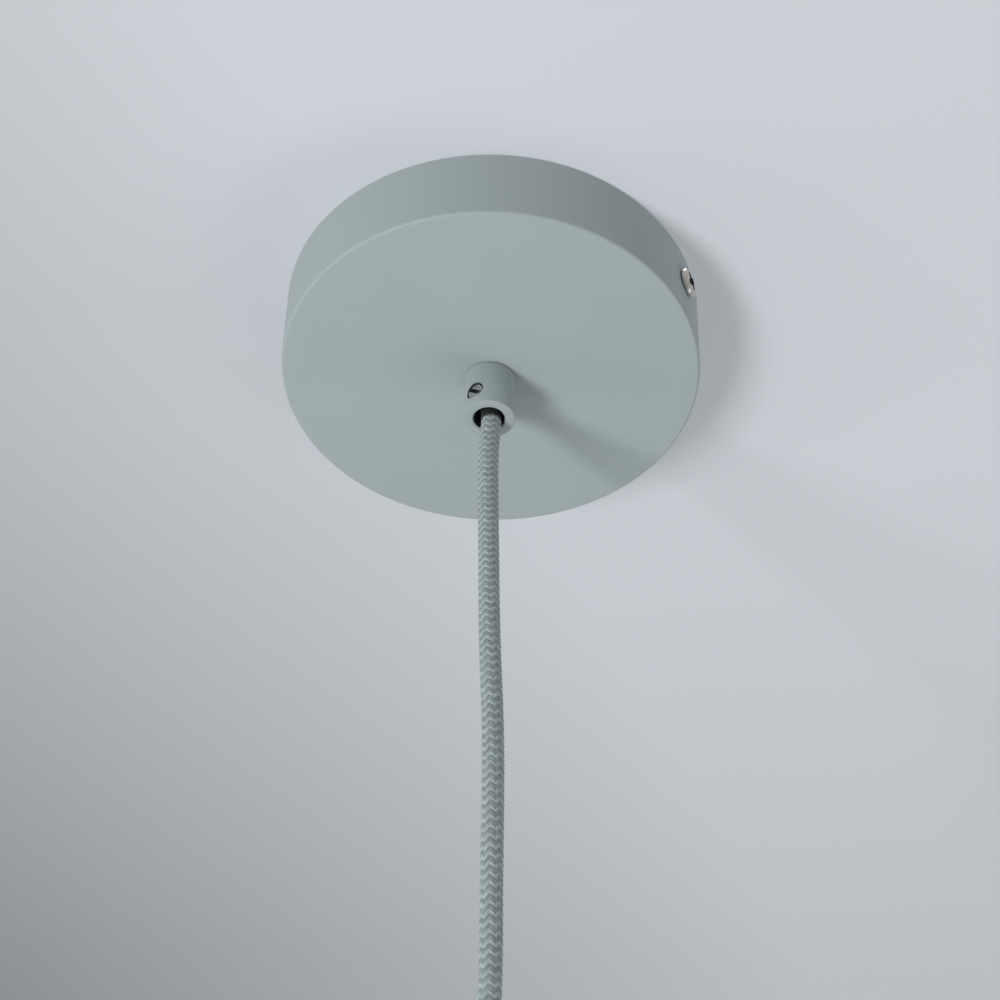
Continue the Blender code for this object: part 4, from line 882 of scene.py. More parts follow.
@dataclass
class Studio:
    """Pale ceiling, soft sky-like surround, a key light at the left front and weak fills."""

    lamps: tuple[Lamp, ...] = (
        Lamp("key_light", (-0.50, -0.43, -0.75), 28.5, size=(0.42, 0.78)),
        Lamp("fill_light", (0.80, 0.15, -0.58), 6.3),
        Lamp("left_light", (-0.95, 0.10, -0.30), 7.0),
        Lamp("floor_light", (0.45, 0.45, -0.77), 4.0),
        Lamp("top_light", (0.0, 0.0, 1.0), 8.0, distance=1.4),
    )
    ceiling_size: float = 6.0
    ceiling_colour: Colour = (0.450, 0.471, 0.495)
    ceiling_painted_glow: float = 0.33  # painted glow for the light that the ceiling takes from the room, as a share of its colour
    # Painted falloff of light over the ceiling: ways along which its tone falls, from where to where, and how
    # far
    painted_light_falloffs: tuple[tuple[Way, float, float, float], ...] = (
        ((-0.911, 0.412, 0.0), 0.02, 0.32, 0.51),
        ((0.0, 1.0, 0.0), 0.05, 0.32, 0.88),
    )
    painted_falloff_reach: tuple[float, float] = (0.10, 1.0)  # distances over which the painted falloff fades and the ceiling gets pale again
    surround: Colour = (0.93, 0.97, 1.0)
    surround_way: Way = (0.30, 0.05, -0.95)
    surround_levels: tuple[float, float] = (0.62, 0.36)  # brightness away from that way and along it
    background: float = 0.80  # brightness of the surround that the camera sees

    def build(self) -> None:
        """Add the ceiling, the world and the lamps."""
        self.build_ceiling()
        self.build_world()
        for lamp in self.lamps:
            lamp.build()
        bpy.context.scene.view_settings.view_transform = "Standard"

    def build_ceiling(self) -> None:
        """Ceiling just above the canopy's rim, seen from below only."""
        half = self.ceiling_size / 2
        mesh = bpy.data.meshes.new("ceiling")
        mesh.from_pydata([(x, y, GAP) for x, y in reversed(rectangle(half, half))], [], [(0, 1, 2, 3)])
        mesh.materials.append(self.ceiling_paint())
        ceiling = link("ceiling", mesh)
        for ray in ("shadow", "diffuse", "glossy"):
            setattr(ceiling, f"visible_{ray}", False)

    def ceiling_paint(self) -> bpy.types.Material:
        """Paint with painted light: its tone falls off as the room's light does, and it glows a little; clear
        from above.
        """
        material = bpy.data.materials.new("ceiling_paint")
        graph = Graph(material)
        place = graph.place()
        light_falloffs = []
        # Painted falloff of light: the tone drops along each way and fades out far from the canopy
        for way, near, far, least in self.painted_light_falloffs:
            light_falloffs.append(graph.ramp(graph.along(place, way), near, far, 1.0, least))
        radius = graph.node("ShaderNodeVectorMath", {0: place}, operation="LENGTH").outputs["Value"]
        far_out = graph.ramp(radius, *self.painted_falloff_reach, 0.0, 1.0)
        tone = graph.math("MAXIMUM", graph.math("MULTIPLY", *light_falloffs), far_out)
        colour = graph.scaled(graph.vary(graph.noise(place, 3.0, 3.0), self.ceiling_colour, 0.98, 1.02), tone)
        graph.set(Base_Color=colour, Roughness=0.9, Specular_IOR_Level=0.1)
        # Painted glow: the ceiling gives off a share of its own colour, lightening its shadows
        graph.set(Emission_Color=colour, Emission_Strength=self.ceiling_painted_glow)
        back = graph.node("ShaderNodeNewGeometry").outputs["Backfacing"]
        clear = graph.node("ShaderNodeBsdfTransparent").outputs[0]
        mixed = graph.node("ShaderNodeMixShader", {0: back, 1: graph.shader.outputs[0], 2: clear}).outputs[0]
        graph.feed(graph.tree.nodes["Material Output"].inputs["Surface"], mixed)
        return material

    def build_world(self) -> None:
        """Surround that is brighter above, where the ceiling would be."""
        world = bpy.data.worlds.new("surround")
        bpy.context.scene.world = world
        graph = Graph(world, "Background")
        place = graph.node("ShaderNodeTexCoord").outputs["Generated"]
        level = graph.ramp(graph.along(place, self.surround_way), -1.0, 1.0, *self.surround_levels)
        seen = graph.node("ShaderNodeLightPath").outputs["Is Camera Ray"]
        mixed = graph.node("ShaderNodeMix", {"Factor": seen, "A": level, "B": self.background})
        graph.set(Color=self.surround, Strength=mixed.outputs["Result"])


@dataclass
class CanopyCup:
    """Drawn cup: straight wall, tight edge and slightly crowned bottom."""

    radius: float = CANOPY_RADIUS
    height: float = 0.0252
    crown: float = 0.0022
    wall: float = 0.0012
    edge_radius: float = 0.0010
    rim_edge: float = 0.0002
    screw_hole: float = 0.0023
    face_rings: int = 20
    segments: int = 256

    def crown_height(self, radius: float) -> float:
        """Height of the bottom face at a radius."""
        return -self.height - self.crown * (1 - (radius / (self.radius - self.edge_radius)) ** 2)

    def build(self) -> None:
        """Build and dress the cup."""
        rim = self.radius - self.edge_radius
        inner = self.radius - self.wall
        rings = range(self.face_rings + 1)
        radii = [rim + (STUB_HOLE_RADIUS - rim) * ring / self.face_rings for ring in rings]
        edge = arc((rim, self.edge_radius - self.height), self.edge_radius, 0, -90, 8)
        outside = [(self.radius, -self.rim_edge)] + edge + [(r, self.crown_height(r)) for r in radii[1:]]
        inside = [(r, self.crown_height(r) + self.wall) for r in reversed(radii[1:])]
        corner = 2 * self.rim_edge
        inside += arc((inner - corner, self.wall - self.height + corner), corner, -90, 0, 4)
        inside += [(inner, -self.rim_edge), (inner + self.rim_edge, 0), (self.radius - self.rim_edge, 0)]
        cup = turned("painted_canopy_cup", outside + inside, self.segments)
        holes = []
        for side in Side:
            reaches = (inner - self.wall, self.radius + self.wall)
            ends = [(side.value * reach, 0, -SIDE_SCREW_DROP) for reach in reaches]
            holes.append(drill(f"side_hole_{side.name}", self.screw_hole, *ends))
        fit(carve(cup, *holes), GREY_PAINT, "canopy_cup")


@dataclass(frozen=True)
class Screw:
    """Domed-head machine screw, head up, its seat at height 0."""

    diameter: float
    length: float
    head_diameter: float
    head_height: float
    pitch: float
    recess: Recess = Recess.SLOT
    rim_share: float = 0.35
    dome: float = 1.0  # 1 for a round dome, less for a flatter one
    groove_share: float = 0.6  # depth of the thread, in pitches
    slot_share: float = 0.14
    cross_share: float = 0.72
    cross_floor: float = 0.45  # size of the cross at its floor, as a share of its size in the head's face
    cross_taper: float = 0.4  # how much narrower its arms could get
    cross_web: float = 2.0  # where its arms meet, in half widths of an arm
    recess_floor: float = 0.24
    segments: int = 64

    def build(self, name: str, finish: Finish, place: Matrix, node: str) -> bpy.types.Object:
        """Build the screw and put it in its place.

        Args:
            name: Name of the piece.
            finish: Its finish.
            place: From the screw's own frame to the light's.
            node: The node that it replaces.

        Returns:
            The piece.
        """
        radius, head = self.diameter / 2, self.head_diameter / 2
        chamfer = radius / 5
        rim = self.head_height * self.rim_share
        rise = self.head_height - rim
        dome = [(x**self.dome * head, rim + z**self.dome * rise) for x, z in arc((0, 0), 1, 0, 90, 14)[:-1]]
        tip = [(0, -self.length), (radius - chamfer, -self.length)]
        shank = rows(radius, chamfer - self.length, 0, self.pitch)
        screw = turned(name, tip + shank + [(head, 0)] + dome + [(0, self.head_height)], self.segments)
        wind(screw, radius, chamfer - self.length, 0, self.pitch, self.groove_share * self.pitch)
        if self.recess is not Recess.NONE:
            carve(screw, self.cutter())
        if self.recess is Recess.CROSS:
            self.paint_recess_shade(screw, finish)
        screw.data.transform(place)
        return fit(screw, finish, node)

    def paint_recess_shade(self, screw: bpy.types.Object, finish: Finish) -> None:
        """Paint shade inside the recess with a near-black second material."""
        for part in (finish, RECESS_PAINTED_SHADE):
            screw.data.materials.append(material_of(part))
        reach = self.head_diameter * self.cross_share / 2
        for face in screw.data.polygons:
            x, y, z = face.center
            below_skin = z < self.head_height / 2 or face.normal.z < 0.9
            if z > 0 and math.hypot(x, y) < reach and below_skin:
                face.material_index = 1

    def cutter(self) -> bpy.types.Object:
        """Tool that cuts the slot, or the cross with its tapered flanks."""
        floor, top = self.head_height * self.recess_floor, self.head_height + OVERSHOOT
        half = self.head_diameter * self.slot_share / 2
        if self.recess is Recess.SLOT:
            long = self.head_diameter / 2 + OVERSHOOT
            return prism("slot_tool", rectangle(long, half), floor, top)
        long = self.head_diameter * self.cross_share / 2
        bm = bmesh.new()
        rings = []
        levels = ((floor, self.cross_floor), (self.head_height, 1.0), (top, 1.0 + OVERSHOOT / long))
        for height, share in levels:
            a, b = long * share, half * (1 - self.cross_taper * (1 - share))
            quarter = [(a, -b), (a, b), (self.cross_web * b, self.cross_web * b)]
            turns = [Matrix.Rotation(math.pi / 2 * turn, 2) for turn in range(4)]
            points = [turn @ Vector(point) for turn in turns for point in quarter]
            rings.append([bm.verts.new((x, y, height)) for x, y in points])
        for here, there in zip(rings, rings[1:]):
            for index in range(len(here)):
                following = (index + 1) % len(here)
                bm.faces.new((here[index], here[following], there[following], there[index]))
        bm.faces.new(rings[0])
        bm.faces.new(rings[-1])
        return add_mesh("cross_tool", bm)


@dataclass
class SideScrews:
    """Two nickel-plated screws through the cup into the bracket's ears."""

    turn: float = math.radians(50)  # of the cross in the head
    screw: Screw = Screw(diameter=0.004, length=0.008, head_diameter=0.0082, head_height=0.0016, pitch=0.0007,
                         recess=Recess.CROSS, rim_share=0.25, dome=0.6)

    def build(self) -> None:
        """Build both screws."""
        for side in Side:
            where = shift(side.value * (CANOPY_RADIUS + GAP), 0, -SIDE_SCREW_DROP)
            name = f"canopy_screw_{side.name.lower()}"
            place = where @ spin(side.value * math.pi / 2, "Y") @ spin(self.turn)
            self.screw.build(f"nickel_{name}", NICKEL, place, name)


@dataclass
class CordGrip:
    """Painted sleeve with a threaded stub and a slotted grub screw that holds the cord."""

    node: str
    seat: float
    upward: bool
    grub_angle: float = math.radians(-104)
    diameter: float = 0.0146
    length: float = 0.0160
    mouth_bore: float = 0.0089
    mouth_depth: float = 0.0105
    throat_radius: float = 0.0033
    edge: float = 0.0003
    stub_diameter: float = 0.010
    stub_length: float = 0.0090
    stub_pitch: float = 0.0010
    stub_groove: float = 0.0005
    segments: int = 128
    grub_diameter: float = 0.0050
    grub_chamfer: float = 0.0004
    grub_thread: tuple[float, float] = (0.0008, 0.0004)  # pitch and depth
    grub_rise: float = 0.0057
    grub_sunk: float = 0.0005
    grub_inner: float = 0.0033  # its tip from the grip's axis
    slot_width: float = 0.0012
    slot_depth: float = 0.0016
    slot_turn: float = math.radians(-40)

    def build(self) -> None:
        """Build the sleeve and its grub screw."""
        radius, mouth, stub = self.diameter / 2, self.mouth_bore / 2, self.stub_diameter / 2
        depth = self.length - self.mouth_depth
        low = -self.stub_length
        shank = rows(stub, low + self.edge, -self.edge, self.stub_pitch)
        end, edge = self.length, self.edge
        sleeve = [
            (stub, 0), (radius - edge / 2, 0), (radius, edge / 2), (radius, end - edge),
            (radius - edge / 3, end - edge / 3), (radius - edge, end), (mouth + edge, end),
            (mouth, end - edge), (mouth, depth), (self.throat_radius, depth - (mouth - self.throat_radius)),
        ]
        foot = [(self.throat_radius, low), (stub - edge, low)]
        body = turned(f"painted_{self.node}", foot + shank + sleeve, self.segments)
        wind(body, stub, low + edge, -edge, self.stub_pitch, self.stub_groove)
        body.data.transform(shift(0, 0, self.seat) @ spin(0.0 if self.upward else math.pi, "X"))
        out = Vector((math.cos(self.grub_angle), math.sin(self.grub_angle), 0))
        level = Vector((0, 0, self.seat + (1 if self.upward else -1) * (end - self.grub_rise)))
        hole_radius = self.grub_diameter / 2 + GAP
        carve(body, drill("grub_hole", hole_radius, level, level + out * (radius + OVERSHOOT)))
        for finish in (SHADED_GRIP_PAINT, GRIP_PAINTED_SHADE):
            body.data.materials.append(material_of(finish))
        self.paint_bore_shade(body, level, out, hole_radius)
        fit(body, SHADED_GRIP_PAINT, f"{self.node}_body")
        self.build_grub(level, out)

    def paint_bore_shade(self, body: bpy.types.Object, level: Vector, out: Vector, hole_radius: float) -> None:
        """Paint shade on the seat, the inside of the bore and the grub screw's hole with the near-black
        second material.
        """
        for face in body.data.polygons:
            centre, normal = face.center, face.normal
            reach = math.hypot(centre.x, centre.y)
            inward = (centre.x * normal.x + centre.y * normal.y) / max(reach, 1e-9) < -0.4
            offset = centre - level
            beside = (offset - out * offset.dot(out)).length
            below_skin = reach < self.diameter / 2 - TOUCH
            in_hole = offset.dot(out) > 0 and beside < hole_radius + TOUCH and below_skin
            seating = abs(centre.z - self.seat) < TOUCH
            if seating or (inward and reach < self.mouth_bore / 2 + TOUCH) or in_hole:
                face.material_index = 1

    def build_grub(self, level: Vector, out: Vector) -> None:
        """Build the grub screw: chamfered ends, a thread and a slot."""
        length = self.diameter / 2 - self.grub_sunk - self.grub_inner
        slot = (self.slot_width, length - self.slot_depth, length + OVERSHOOT)
        chamfers = (self.grub_chamfer, self.grub_chamfer / 2)
        name, radius = f"slotted_{self.node}_grub_screw", self.grub_diameter / 2
        grub = headless(name, radius, length, chamfers, self.grub_thread, slot, 64)
        moved(grub, shift(*level + out * self.grub_inner) @ facing(out) @ spin(self.slot_turn))
        fit(grub, DULL_STEEL, f"{self.node}_grub_screw")


@dataclass
class Cord:
    """Mains cord in a braided two-colour sleeve, held taut by the lamp holder."""

    diameter: float = 0.0058
    # Height, sway to the right and sway away from the camera, of the route's points
    route: tuple[tuple[float, float, float], ...] = (
        (CORD_TOP, 0.0, 0.0),
        (-0.0300, 0.0, 0.0),
        (-0.0338, 0.00005, 0.00005),
        (-0.0435, 0.0006, 0.0009),
        (-0.0510, 0.0003, 0.0012),
        (-0.0620, 0.0002, 0.0013),
        (-0.0920, 0.0010, 0.0011),
        (-0.1240, 0.0020, 0.0008),
        (-0.1560, 0.0035, 0.0004),
        (-0.1780, 0.0040, 0.0001),
        (-0.2040, 0.00425, 0.0),
        (-0.2360, 0.0046, 0.0),
        (-0.2640, 0.0036, 0.0),
        (-0.2920, 0.0014, 0.0),
        (-0.3150, 0.0, 0.0),
        (-0.3300, 0.0, 0.0),
        (CORD_BOTTOM, 0.0, 0.0),
    )
    exit_height: float = -0.042
    float_columns: int = 12
    column_faces: int = 6
    rows_per_period: int = 10
    period_top: float = 0.00240
    period_growth: float = 0.00047
    growth_span: tuple[float, float] = (-0.080, -0.160)
    zigzag: float = 0.25  # swing of the bands, in periods
    peak_angle: float = math.radians(280)
    twist: float = math.radians(-130)  # per metre below the mouth
    mouth_height: float = -0.0437
    relief: float = 0.00022
    collar_length: float = 0.0055
    collar_wall: float = 0.0006

    def period(self, height: float) -> float:
        """Length of one light and one dark band at a height."""
        start, end = self.growth_span
        t = min(1.0, max(0.0, (height - start) / (end - start)))
        return self.period_top + self.period_growth * t * t * (3 - 2 * t)

    def build(self) -> None:
        points = [spin(PHOTO_TURN) @ Vector((aside, away, height)) for height, aside, away in self.route]
        fine = smooth_route(points, 0.00024)
        sleeve, path = self.build_sleeve(fine)
        fit(sleeve, TEXTILE, "cord")
        collars = [
            self.build_collar("cord_collar", CORD_TOP - self.collar_length),
            self.build_collar("lower_cord_collar", CORD_BOTTOM),
        ]

    def build_sleeve(self, fine: list[Vector]) -> tuple[bpy.types.Object, list[Vector]]:
        """Braided tube whose rows follow the bands of the braid.

        Args:
            fine: Close points of the cord's centre line.

        Returns:
            The sleeve, and the centres of its rings.
        """
        marks, phase = [0.0], 0.0
        for before, after in zip(fine, fine[1:]):
            phase += (after - before).length / self.period((before.z + after.z) / 2)
            marks.append(phase)
        frames = frames_along(fine)
        row_count = math.ceil(phase * self.rows_per_period)
        columns = self.float_columns * self.column_faces
        step = phase / row_count
        bm = bmesh.new()
        uv = bm.loops.layers.uv.new("braid")
        rings, centres, cursor = [], [], 0
        for row in range(row_count + 1):
            target = row * step
            while cursor < len(marks) - 2 and marks[cursor + 1] < target:
                cursor += 1
            t = (target - marks[cursor]) / (marks[cursor + 1] - marks[cursor])
            centre = fine[cursor].lerp(fine[cursor + 1], t)
            side, up = frames[cursor]
            down = (fine[cursor + 1] - fine[cursor]).normalized()
            fade = min(1.0, target, phase - target)
            rings.append(self.ring(bm, columns, centre, (side, up, down), target, fade))
            centres.append(centre)
        for row, (here, there) in enumerate(zip(rings, rings[1:])):
            for column in range(columns):
                following = (column + 1) % columns
                face = bm.faces.new((here[column], there[column], there[following], here[following]))
                corners = ((column, row), (column, row + 1), (column + 1, row + 1), (column + 1, row))
                for loop, (across, line) in zip(face.loops, corners):
                    loop[uv].uv = (across / self.column_faces, line * step)
        bm.faces.new(rings[0])
        bm.faces.new(rings[-1])
        return add_mesh("braided_cord", bm, sharp=80), centres

    def ring(self, bm: bmesh.types.BMesh, columns: int, centre: Vector, axes: tuple[Vector, Vector, Vector],
             phase: float, fade: float) -> list[bmesh.types.BMVert]:
        """One row of the sleeve, swinging up and down with the zigzag.

        Args:
            bm: The bmesh.
            columns: Vertices round the cord.
            centre: Centre of the row.
            axes: Side, upright and downward directions there.
            phase: Count of periods from the cord's top.
            fade: 1 along the cord, 0 at its ends.

        Returns:
            The row's vertices.
        """
        side, up, down = axes
        period = self.period(centre.z)
        start = self.peak_angle + self.twist * (self.mouth_height - centre.z)
        band = 0.5 - 0.5 * math.cos(2 * math.tau * phase)
        ring = []
        for column in range(columns):
            share = column / self.column_faces  # counts columns of floats
            swing = 1 - 2 * abs((share + 1) % 2 - 1)
            across = abs(2 * (share % 1.0) - 1)
            angle = start + math.tau * column / columns
            crest = band**0.6 * (1 - 0.75 * across**4)
            radius = self.diameter / 2 - self.relief * fade * (1 - crest)
            outward = side * math.cos(angle) + up * math.sin(angle)
            lift = -down * swing * self.zigzag * period * fade
            ring.append(bm.verts.new(centre + outward * radius + lift))
        return ring

    def build_collar(self, node: str, low: float) -> bpy.types.Object:
        """Shrunk collar over the sleeve's end."""
        inner = self.diameter / 2 + GAP
        outer, high = inner + self.collar_wall, low + self.collar_length
        outline = [(inner, low), (outer, low), (outer, high), (inner, high)]
        return fit(turned(f"shrunk_{node}", outline, 48, edge=0.0002), SLEEVE, node)


@dataclass
class CeilingBracket:
    """Strip of plated steel with an ear folded down at each end, slots and threaded holes."""

    thickness: float = 0.002
    bend_radius: float = 0.0015  # inside of the fold
    ear_corner: float = 0.003
    slot_width: float = 0.0055
    slot_length: float = 0.013
    slot_inset: float = 0.0139  # from the ear's outer face to the slot's centre
    screw_radius: float = 0.002
    fixing_radius: float = 0.00125
    edge: float = 0.00025

    def build(self) -> None:
        """Build the bracket."""
        low, high = span("ceiling_bracket")
        ear, width, drop = high.x, high.y - low.y, low.z
        outer = self.bend_radius + self.thickness
        right = [(ear, drop)] + arc((ear - outer, -outer), outer, 0, 90, 10)
        left = [(-x, z) for x, z in reversed(right)]
        under = [(self.thickness - ear, drop)] + arc((outer - ear, -outer), self.bend_radius, 180, 90, 8)
        ahead = [(-x, z) for x, z in reversed(under)]
        strip = folded("folded_ceiling_bracket", right + left + under + ahead, width, self.edge)
        self.round_ears(strip, width, ear, drop)
        holes = []
        for side in Side:
            x = side.value * (ear - self.slot_inset)
            reach = (self.slot_length - self.slot_width) / 2
            slot = arc((x + reach, 0), self.slot_width / 2, -90, 90, 16)
            slot += arc((x - reach, 0), self.slot_width / 2, 90, 270, 16)
            holes.append(prism("ceiling_slot", slot, -2 * self.thickness, OVERSHOOT))
            ends = [(side.value * (ear + step * self.thickness), 0, -SIDE_SCREW_DROP) for step in (-2, 1)]
            holes.append(drill("ear_hole", self.screw_radius + HOLE_CLEARANCE, *ends))
        earth, block = span("earth_screw"), span("terminal_block_screw")
        for (near, far), radius in ((earth, self.screw_radius), (block, self.fixing_radius)):
            heights = (-2 * self.thickness, OVERSHOOT)
            holes.append(drill_along_z("thread_hole", radius + HOLE_CLEARANCE, (near + far) / 2, heights))
        fit(carve(strip, *holes), STEEL, "ceiling_bracket")

    def round_ears(self, strip: bpy.types.Object, width: float, ear: float, drop: float) -> None:
        """Cut the lower corners of both ears round."""
        r, half = self.ear_corner, width / 2
        tools = []
        for side in Side:
            for hand in (-1, 1):
                outline = arc((half - r, drop + r), r, 0, -90, 10)
                outline += [(half - r, drop - r), (half + r, drop - r), (half + r, drop + r)]
                outline = [(hand * y, z) for y, z in outline]
                tool = prism("corner_tool", outline, ear - 2 * self.thickness, ear + self.thickness)
                moved(tool, across_x(side.value))
                if side is Side.LEFT:
                    tool.data.flip_normals()
                tools.append(tool)
        carve(strip, *tools)


@dataclass
class RingTerminal:
    """Crimp terminal: an eye, a tongue and a barrel with crimp dents."""

    node: str
    angle: float
    centre_x: float = -0.0170
    eye_radius: float = 0.0023
    ring_radius: float = 0.0040
    barrel_start: float = 0.0056
    neck: float = 0.6
    tongue_bite: float = 0.0018
    edge: float = 0.0001
    row_pitch: float = 0.002
    dents: tuple[tuple[float, float], ...] = ((0.27, 0.0005), (0.75, 0.00022))  # share of the length, depth
    dent_reach: float = 0.16

    def place(self) -> Matrix:
        """Where the eye's centre lies, with the barrel along its X axis."""
        top = span(self.node)[1].z
        return shift(self.centre_x, 0, top) @ spin(self.angle)

    def mouth(self) -> tuple[Vector, Vector]:
        """Where a core enters the barrel, and the way it runs there."""
        reach = self.barrel_start + CRIMP_LENGTH - CORE_ENTRY
        return self.place() @ Vector((reach, 0, -CRIMP_RADIUS)), self.place().to_3x3() @ Vector((-1, 0, 0))

    def build(self) -> None:
        """Build the terminal."""
        half = CRIMP_RADIUS * self.neck
        spread = math.degrees(math.asin(CRIMP_RADIUS / self.ring_radius))
        tongue = self.barrel_start + self.tongue_bite
        outline = arc((0, 0), self.ring_radius, spread, 360 - spread, 48) + [(tongue, -half), (tongue, half)]
        plate = prism(f"crimped_{self.node}", outline, -EARTH_SHEET, 0, self.edge)
        eye = drill_along_z("eye", self.eye_radius, (0, 0), (-2 * EARTH_SHEET, OVERSHOOT))
        carve(carve(plate, self.barrel(), join=True), eye)
        fit(moved(plate, self.place()), STEEL, self.node)

    def barrel(self) -> bpy.types.Object:
        """The barrel along X, pressed in at two places on its lower side."""
        radius, bore, end, edge = CRIMP_RADIUS, CORE_BORE_RADIUS, CRIMP_LENGTH, self.edge
        outside = [(0, 0), (radius - edge, 0)] + rows(radius, edge, end - edge, self.row_pitch)
        inside = [(radius - edge, end), (bore + edge, end), (bore, end - 2 * edge)]
        inside += [(bore, end / 2), (0, end / 2)]
        barrel = turned("barrel", outside + inside, 40)
        for vertex in barrel.data.vertices:
            for share, depth in self.dents:
                nearness = max(0.0, 1 - abs(vertex.co.z / end - share) / self.dent_reach)
                vertex.co.x -= depth * nearness * max(0.0, vertex.co.x / radius) ** 2
        return moved(barrel, shift(self.barrel_start, 0, -radius) @ spin(math.pi / 2, "Y"))


@dataclass
class EarthPoint:
    """Two ring terminals, a washer and a slotted brass screw under the bracket."""

    fan: float = math.radians(27)
    slot_turn: float = 0.6
    washer_edge: float = 0.00012
    terminals: dict[str, RingTerminal] = field(init=False)

    def __post_init__(self) -> None:
        """Fan the two terminals out."""
        fans = {"earth_lead_terminal": self.fan, "earth_core_terminal": -self.fan}
        self.terminals = {node: RingTerminal(node, angle) for node, angle in fans.items()}

    def build(self) -> None:
        """Build the earth point's pieces."""
        for terminal in self.terminals.values():
            terminal.build()
        low, high = span("earth_washer")
        middle, outer = (low + high) / 2, (high.y - low.y) / 2
        inner = RingTerminal.eye_radius
        outline = [(inner, low.z), (outer, low.z), (outer, high.z), (inner, high.z)]
        washer = turned("flat_earth_washer", outline, 64, edge=self.washer_edge)
        fit(moved(washer, shift(middle.x, 0, 0)), STEEL, "earth_washer")
        seat = low.z - GAP
        length = -seat - GAP
        screw = Screw(diameter=0.004, length=length, head_diameter=0.0072, head_height=0.0026, pitch=0.0007)
        place = shift(middle.x, 0, seat) @ spin(math.pi, "X") @ spin(self.slot_turn)
        screw.build("slotted_earth_screw", BRASS, place, "earth_screw")


@dataclass
class TerminalBlock:
    """Three-pole strip: moulded body with screw towers, brass barrels and slotted clamp screws."""

    pitch: float = 0.0092
    depth: float = 0.0170  # along X, the way the wires run
    base_height: float = 0.0078
    edge: float = 0.0006
    tower_radius: float = 0.0031
    tower_reach: float = 0.0046
    tower_edge: float = 0.0003
    barrel_radius: float = 0.0025
    barrel_edge: float = 0.0002
    bore_radius: float = 0.0017
    recess: float = 0.0012
    screw_radius: float = 0.00125
    screw_sunk: float = 0.0005
    screw_tip: float = 0.0001
    screw_thread: tuple[float, float] = (0.00045, 0.00022)  # pitch and depth
    slot_width: float = 0.0005
    slot_depth: float = 0.0007
    groove: float = 0.0008  # between the poles, where the strip is cut
    slot_turns: tuple[float, ...] = (0.3, 1.2, 2.1, 0.9, 2.7, 1.6)  # of the screws' slots

    def __post_init__(self) -> None:
        """Take the block's place from the model."""
        low, high = span("terminal_block")
        self.x = (low.x + high.x) / 2
        self.top, self.rim = high.z, low.z
        self.bottom = self.top - self.base_height
        self.axis = self.top - self.base_height / 2

    def row(self, pole: Pole) -> float:
        """A pole's place along Y."""
        return (list(Pole).index(pole) - 1) * self.pitch

    def entry(self, pole: Pole) -> Vector:
        """Where a core enters a pole's barrel."""
        return Vector((self.x - self.depth / 2 + self.recess - GAP, self.row(pole), self.axis))

    def build(self) -> None:
        """Build the body, the barrels and the screws."""
        half, wide = self.depth / 2, 1.5 * self.pitch
        block = ("moulded_terminal_block", rectangle(half, wide), self.bottom, self.top)
        body = prism(*block, self.edge, upright=True)
        towers, cuts = [], []
        for pole in Pole:
            y = self.row(pole)
            ends = [(side.value * (half + OVERSHOOT), y, self.axis) for side in Side]
            cuts.append(drill("pole_bore", self.barrel_radius + HOLE_CLEARANCE, *ends))
            for side in Side:
                x = side.value * self.tower_reach
                radius, high = self.tower_radius, self.bottom - self.rim + OVERSHOOT
                tower = turned("tower", [(0, 0), (radius, 0), (radius, high), (0, high)], 48, self.tower_edge)
                towers.append(moved(tower, shift(x, y, self.rim)))
                heights = (self.axis, self.rim - OVERSHOOT / 2)
                cuts.append(drill_along_z("well", self.screw_radius + HOLE_CLEARANCE, (x, y), heights))
        for share in (-0.5, 0.5):
            y, g = share * self.pitch, self.groove
            for z in (self.bottom, self.top):
                deep = math.copysign(g, self.axis - z)
                vee = [(y - g, z - deep), (y, z + deep), (y + g, z - deep)]
                tool = prism("groove", vee, -half - OVERSHOOT, half + OVERSHOOT)
                cuts.append(moved(tool, across_x()))
        y, heights = self.pitch / 2, (self.bottom - OVERSHOOT, self.top + OVERSHOOT)
        cuts.append(drill_along_z("fixing_hole", self.screw_radius + HOLE_CLEARANCE, (0, y), heights))
        carve(carve(body, *towers, join=True), *cuts)
        fit(moved(body, shift(self.x, 0, 0)), NYLON, "terminal_block")
        turns = iter(self.slot_turns)
        for pole in Pole:
            self.build_barrel(pole)
            for name, side in (("inner", Side.LEFT), ("outer", Side.RIGHT)):
                self.build_clamp(f"clamp_screw_{pole.value}_{name}", pole, side, next(turns))
        screw = Screw(diameter=2 * self.screw_radius, length=-self.bottom, head_diameter=0.0047,
                      head_height=0.0018, pitch=self.screw_thread[0])
        place = shift(self.x, y, self.bottom - GAP) @ spin(math.pi, "X")
        screw.build("slotted_terminal_block_screw", STEEL, place, "terminal_block_screw")

    def build_barrel(self, pole: Pole) -> None:
        """Brass barrel of one pole."""
        half = self.depth / 2 - self.recess
        profile = [(self.bore_radius, -half), (self.barrel_radius, -half)]
        profile += [(r, -z) for r, z in reversed(profile)]
        barrel = turned(f"turned_terminal_barrel_{pole.value}", profile, 48, edge=self.barrel_edge)
        y, heights = self.row(pole), (self.axis, self.axis - 2 * self.barrel_radius)
        moved(barrel, shift(self.x, y, self.axis) @ spin(math.pi / 2, "Y"))
        holes = []
        for side in Side:
            place = (self.x + side.value * self.tower_reach, y)
            holes.append(drill_along_z("clamp_hole", self.screw_radius + HOLE_CLEARANCE, place, heights))
        fit(carve(barrel, *holes), BRASS, f"terminal_barrel_{pole.value}")

    def build_clamp(self, node: str, pole: Pole, side: Side, turn: float) -> None:
        """Slotted, threaded clamp screw in one tower."""
        radius, low = self.screw_radius, self.rim + self.screw_sunk
        slot = (self.slot_width, -OVERSHOOT, self.slot_depth)
        chamfers = (self.screw_tip, radius / 5)
        screw = headless(f"slotted_{node}", radius, self.axis - low, chamfers, self.screw_thread, slot, 40)
        place = shift(self.x + side.value * self.tower_reach, self.row(pole), low) @ spin(turn)
        fit(moved(screw, place), BRASS, node)


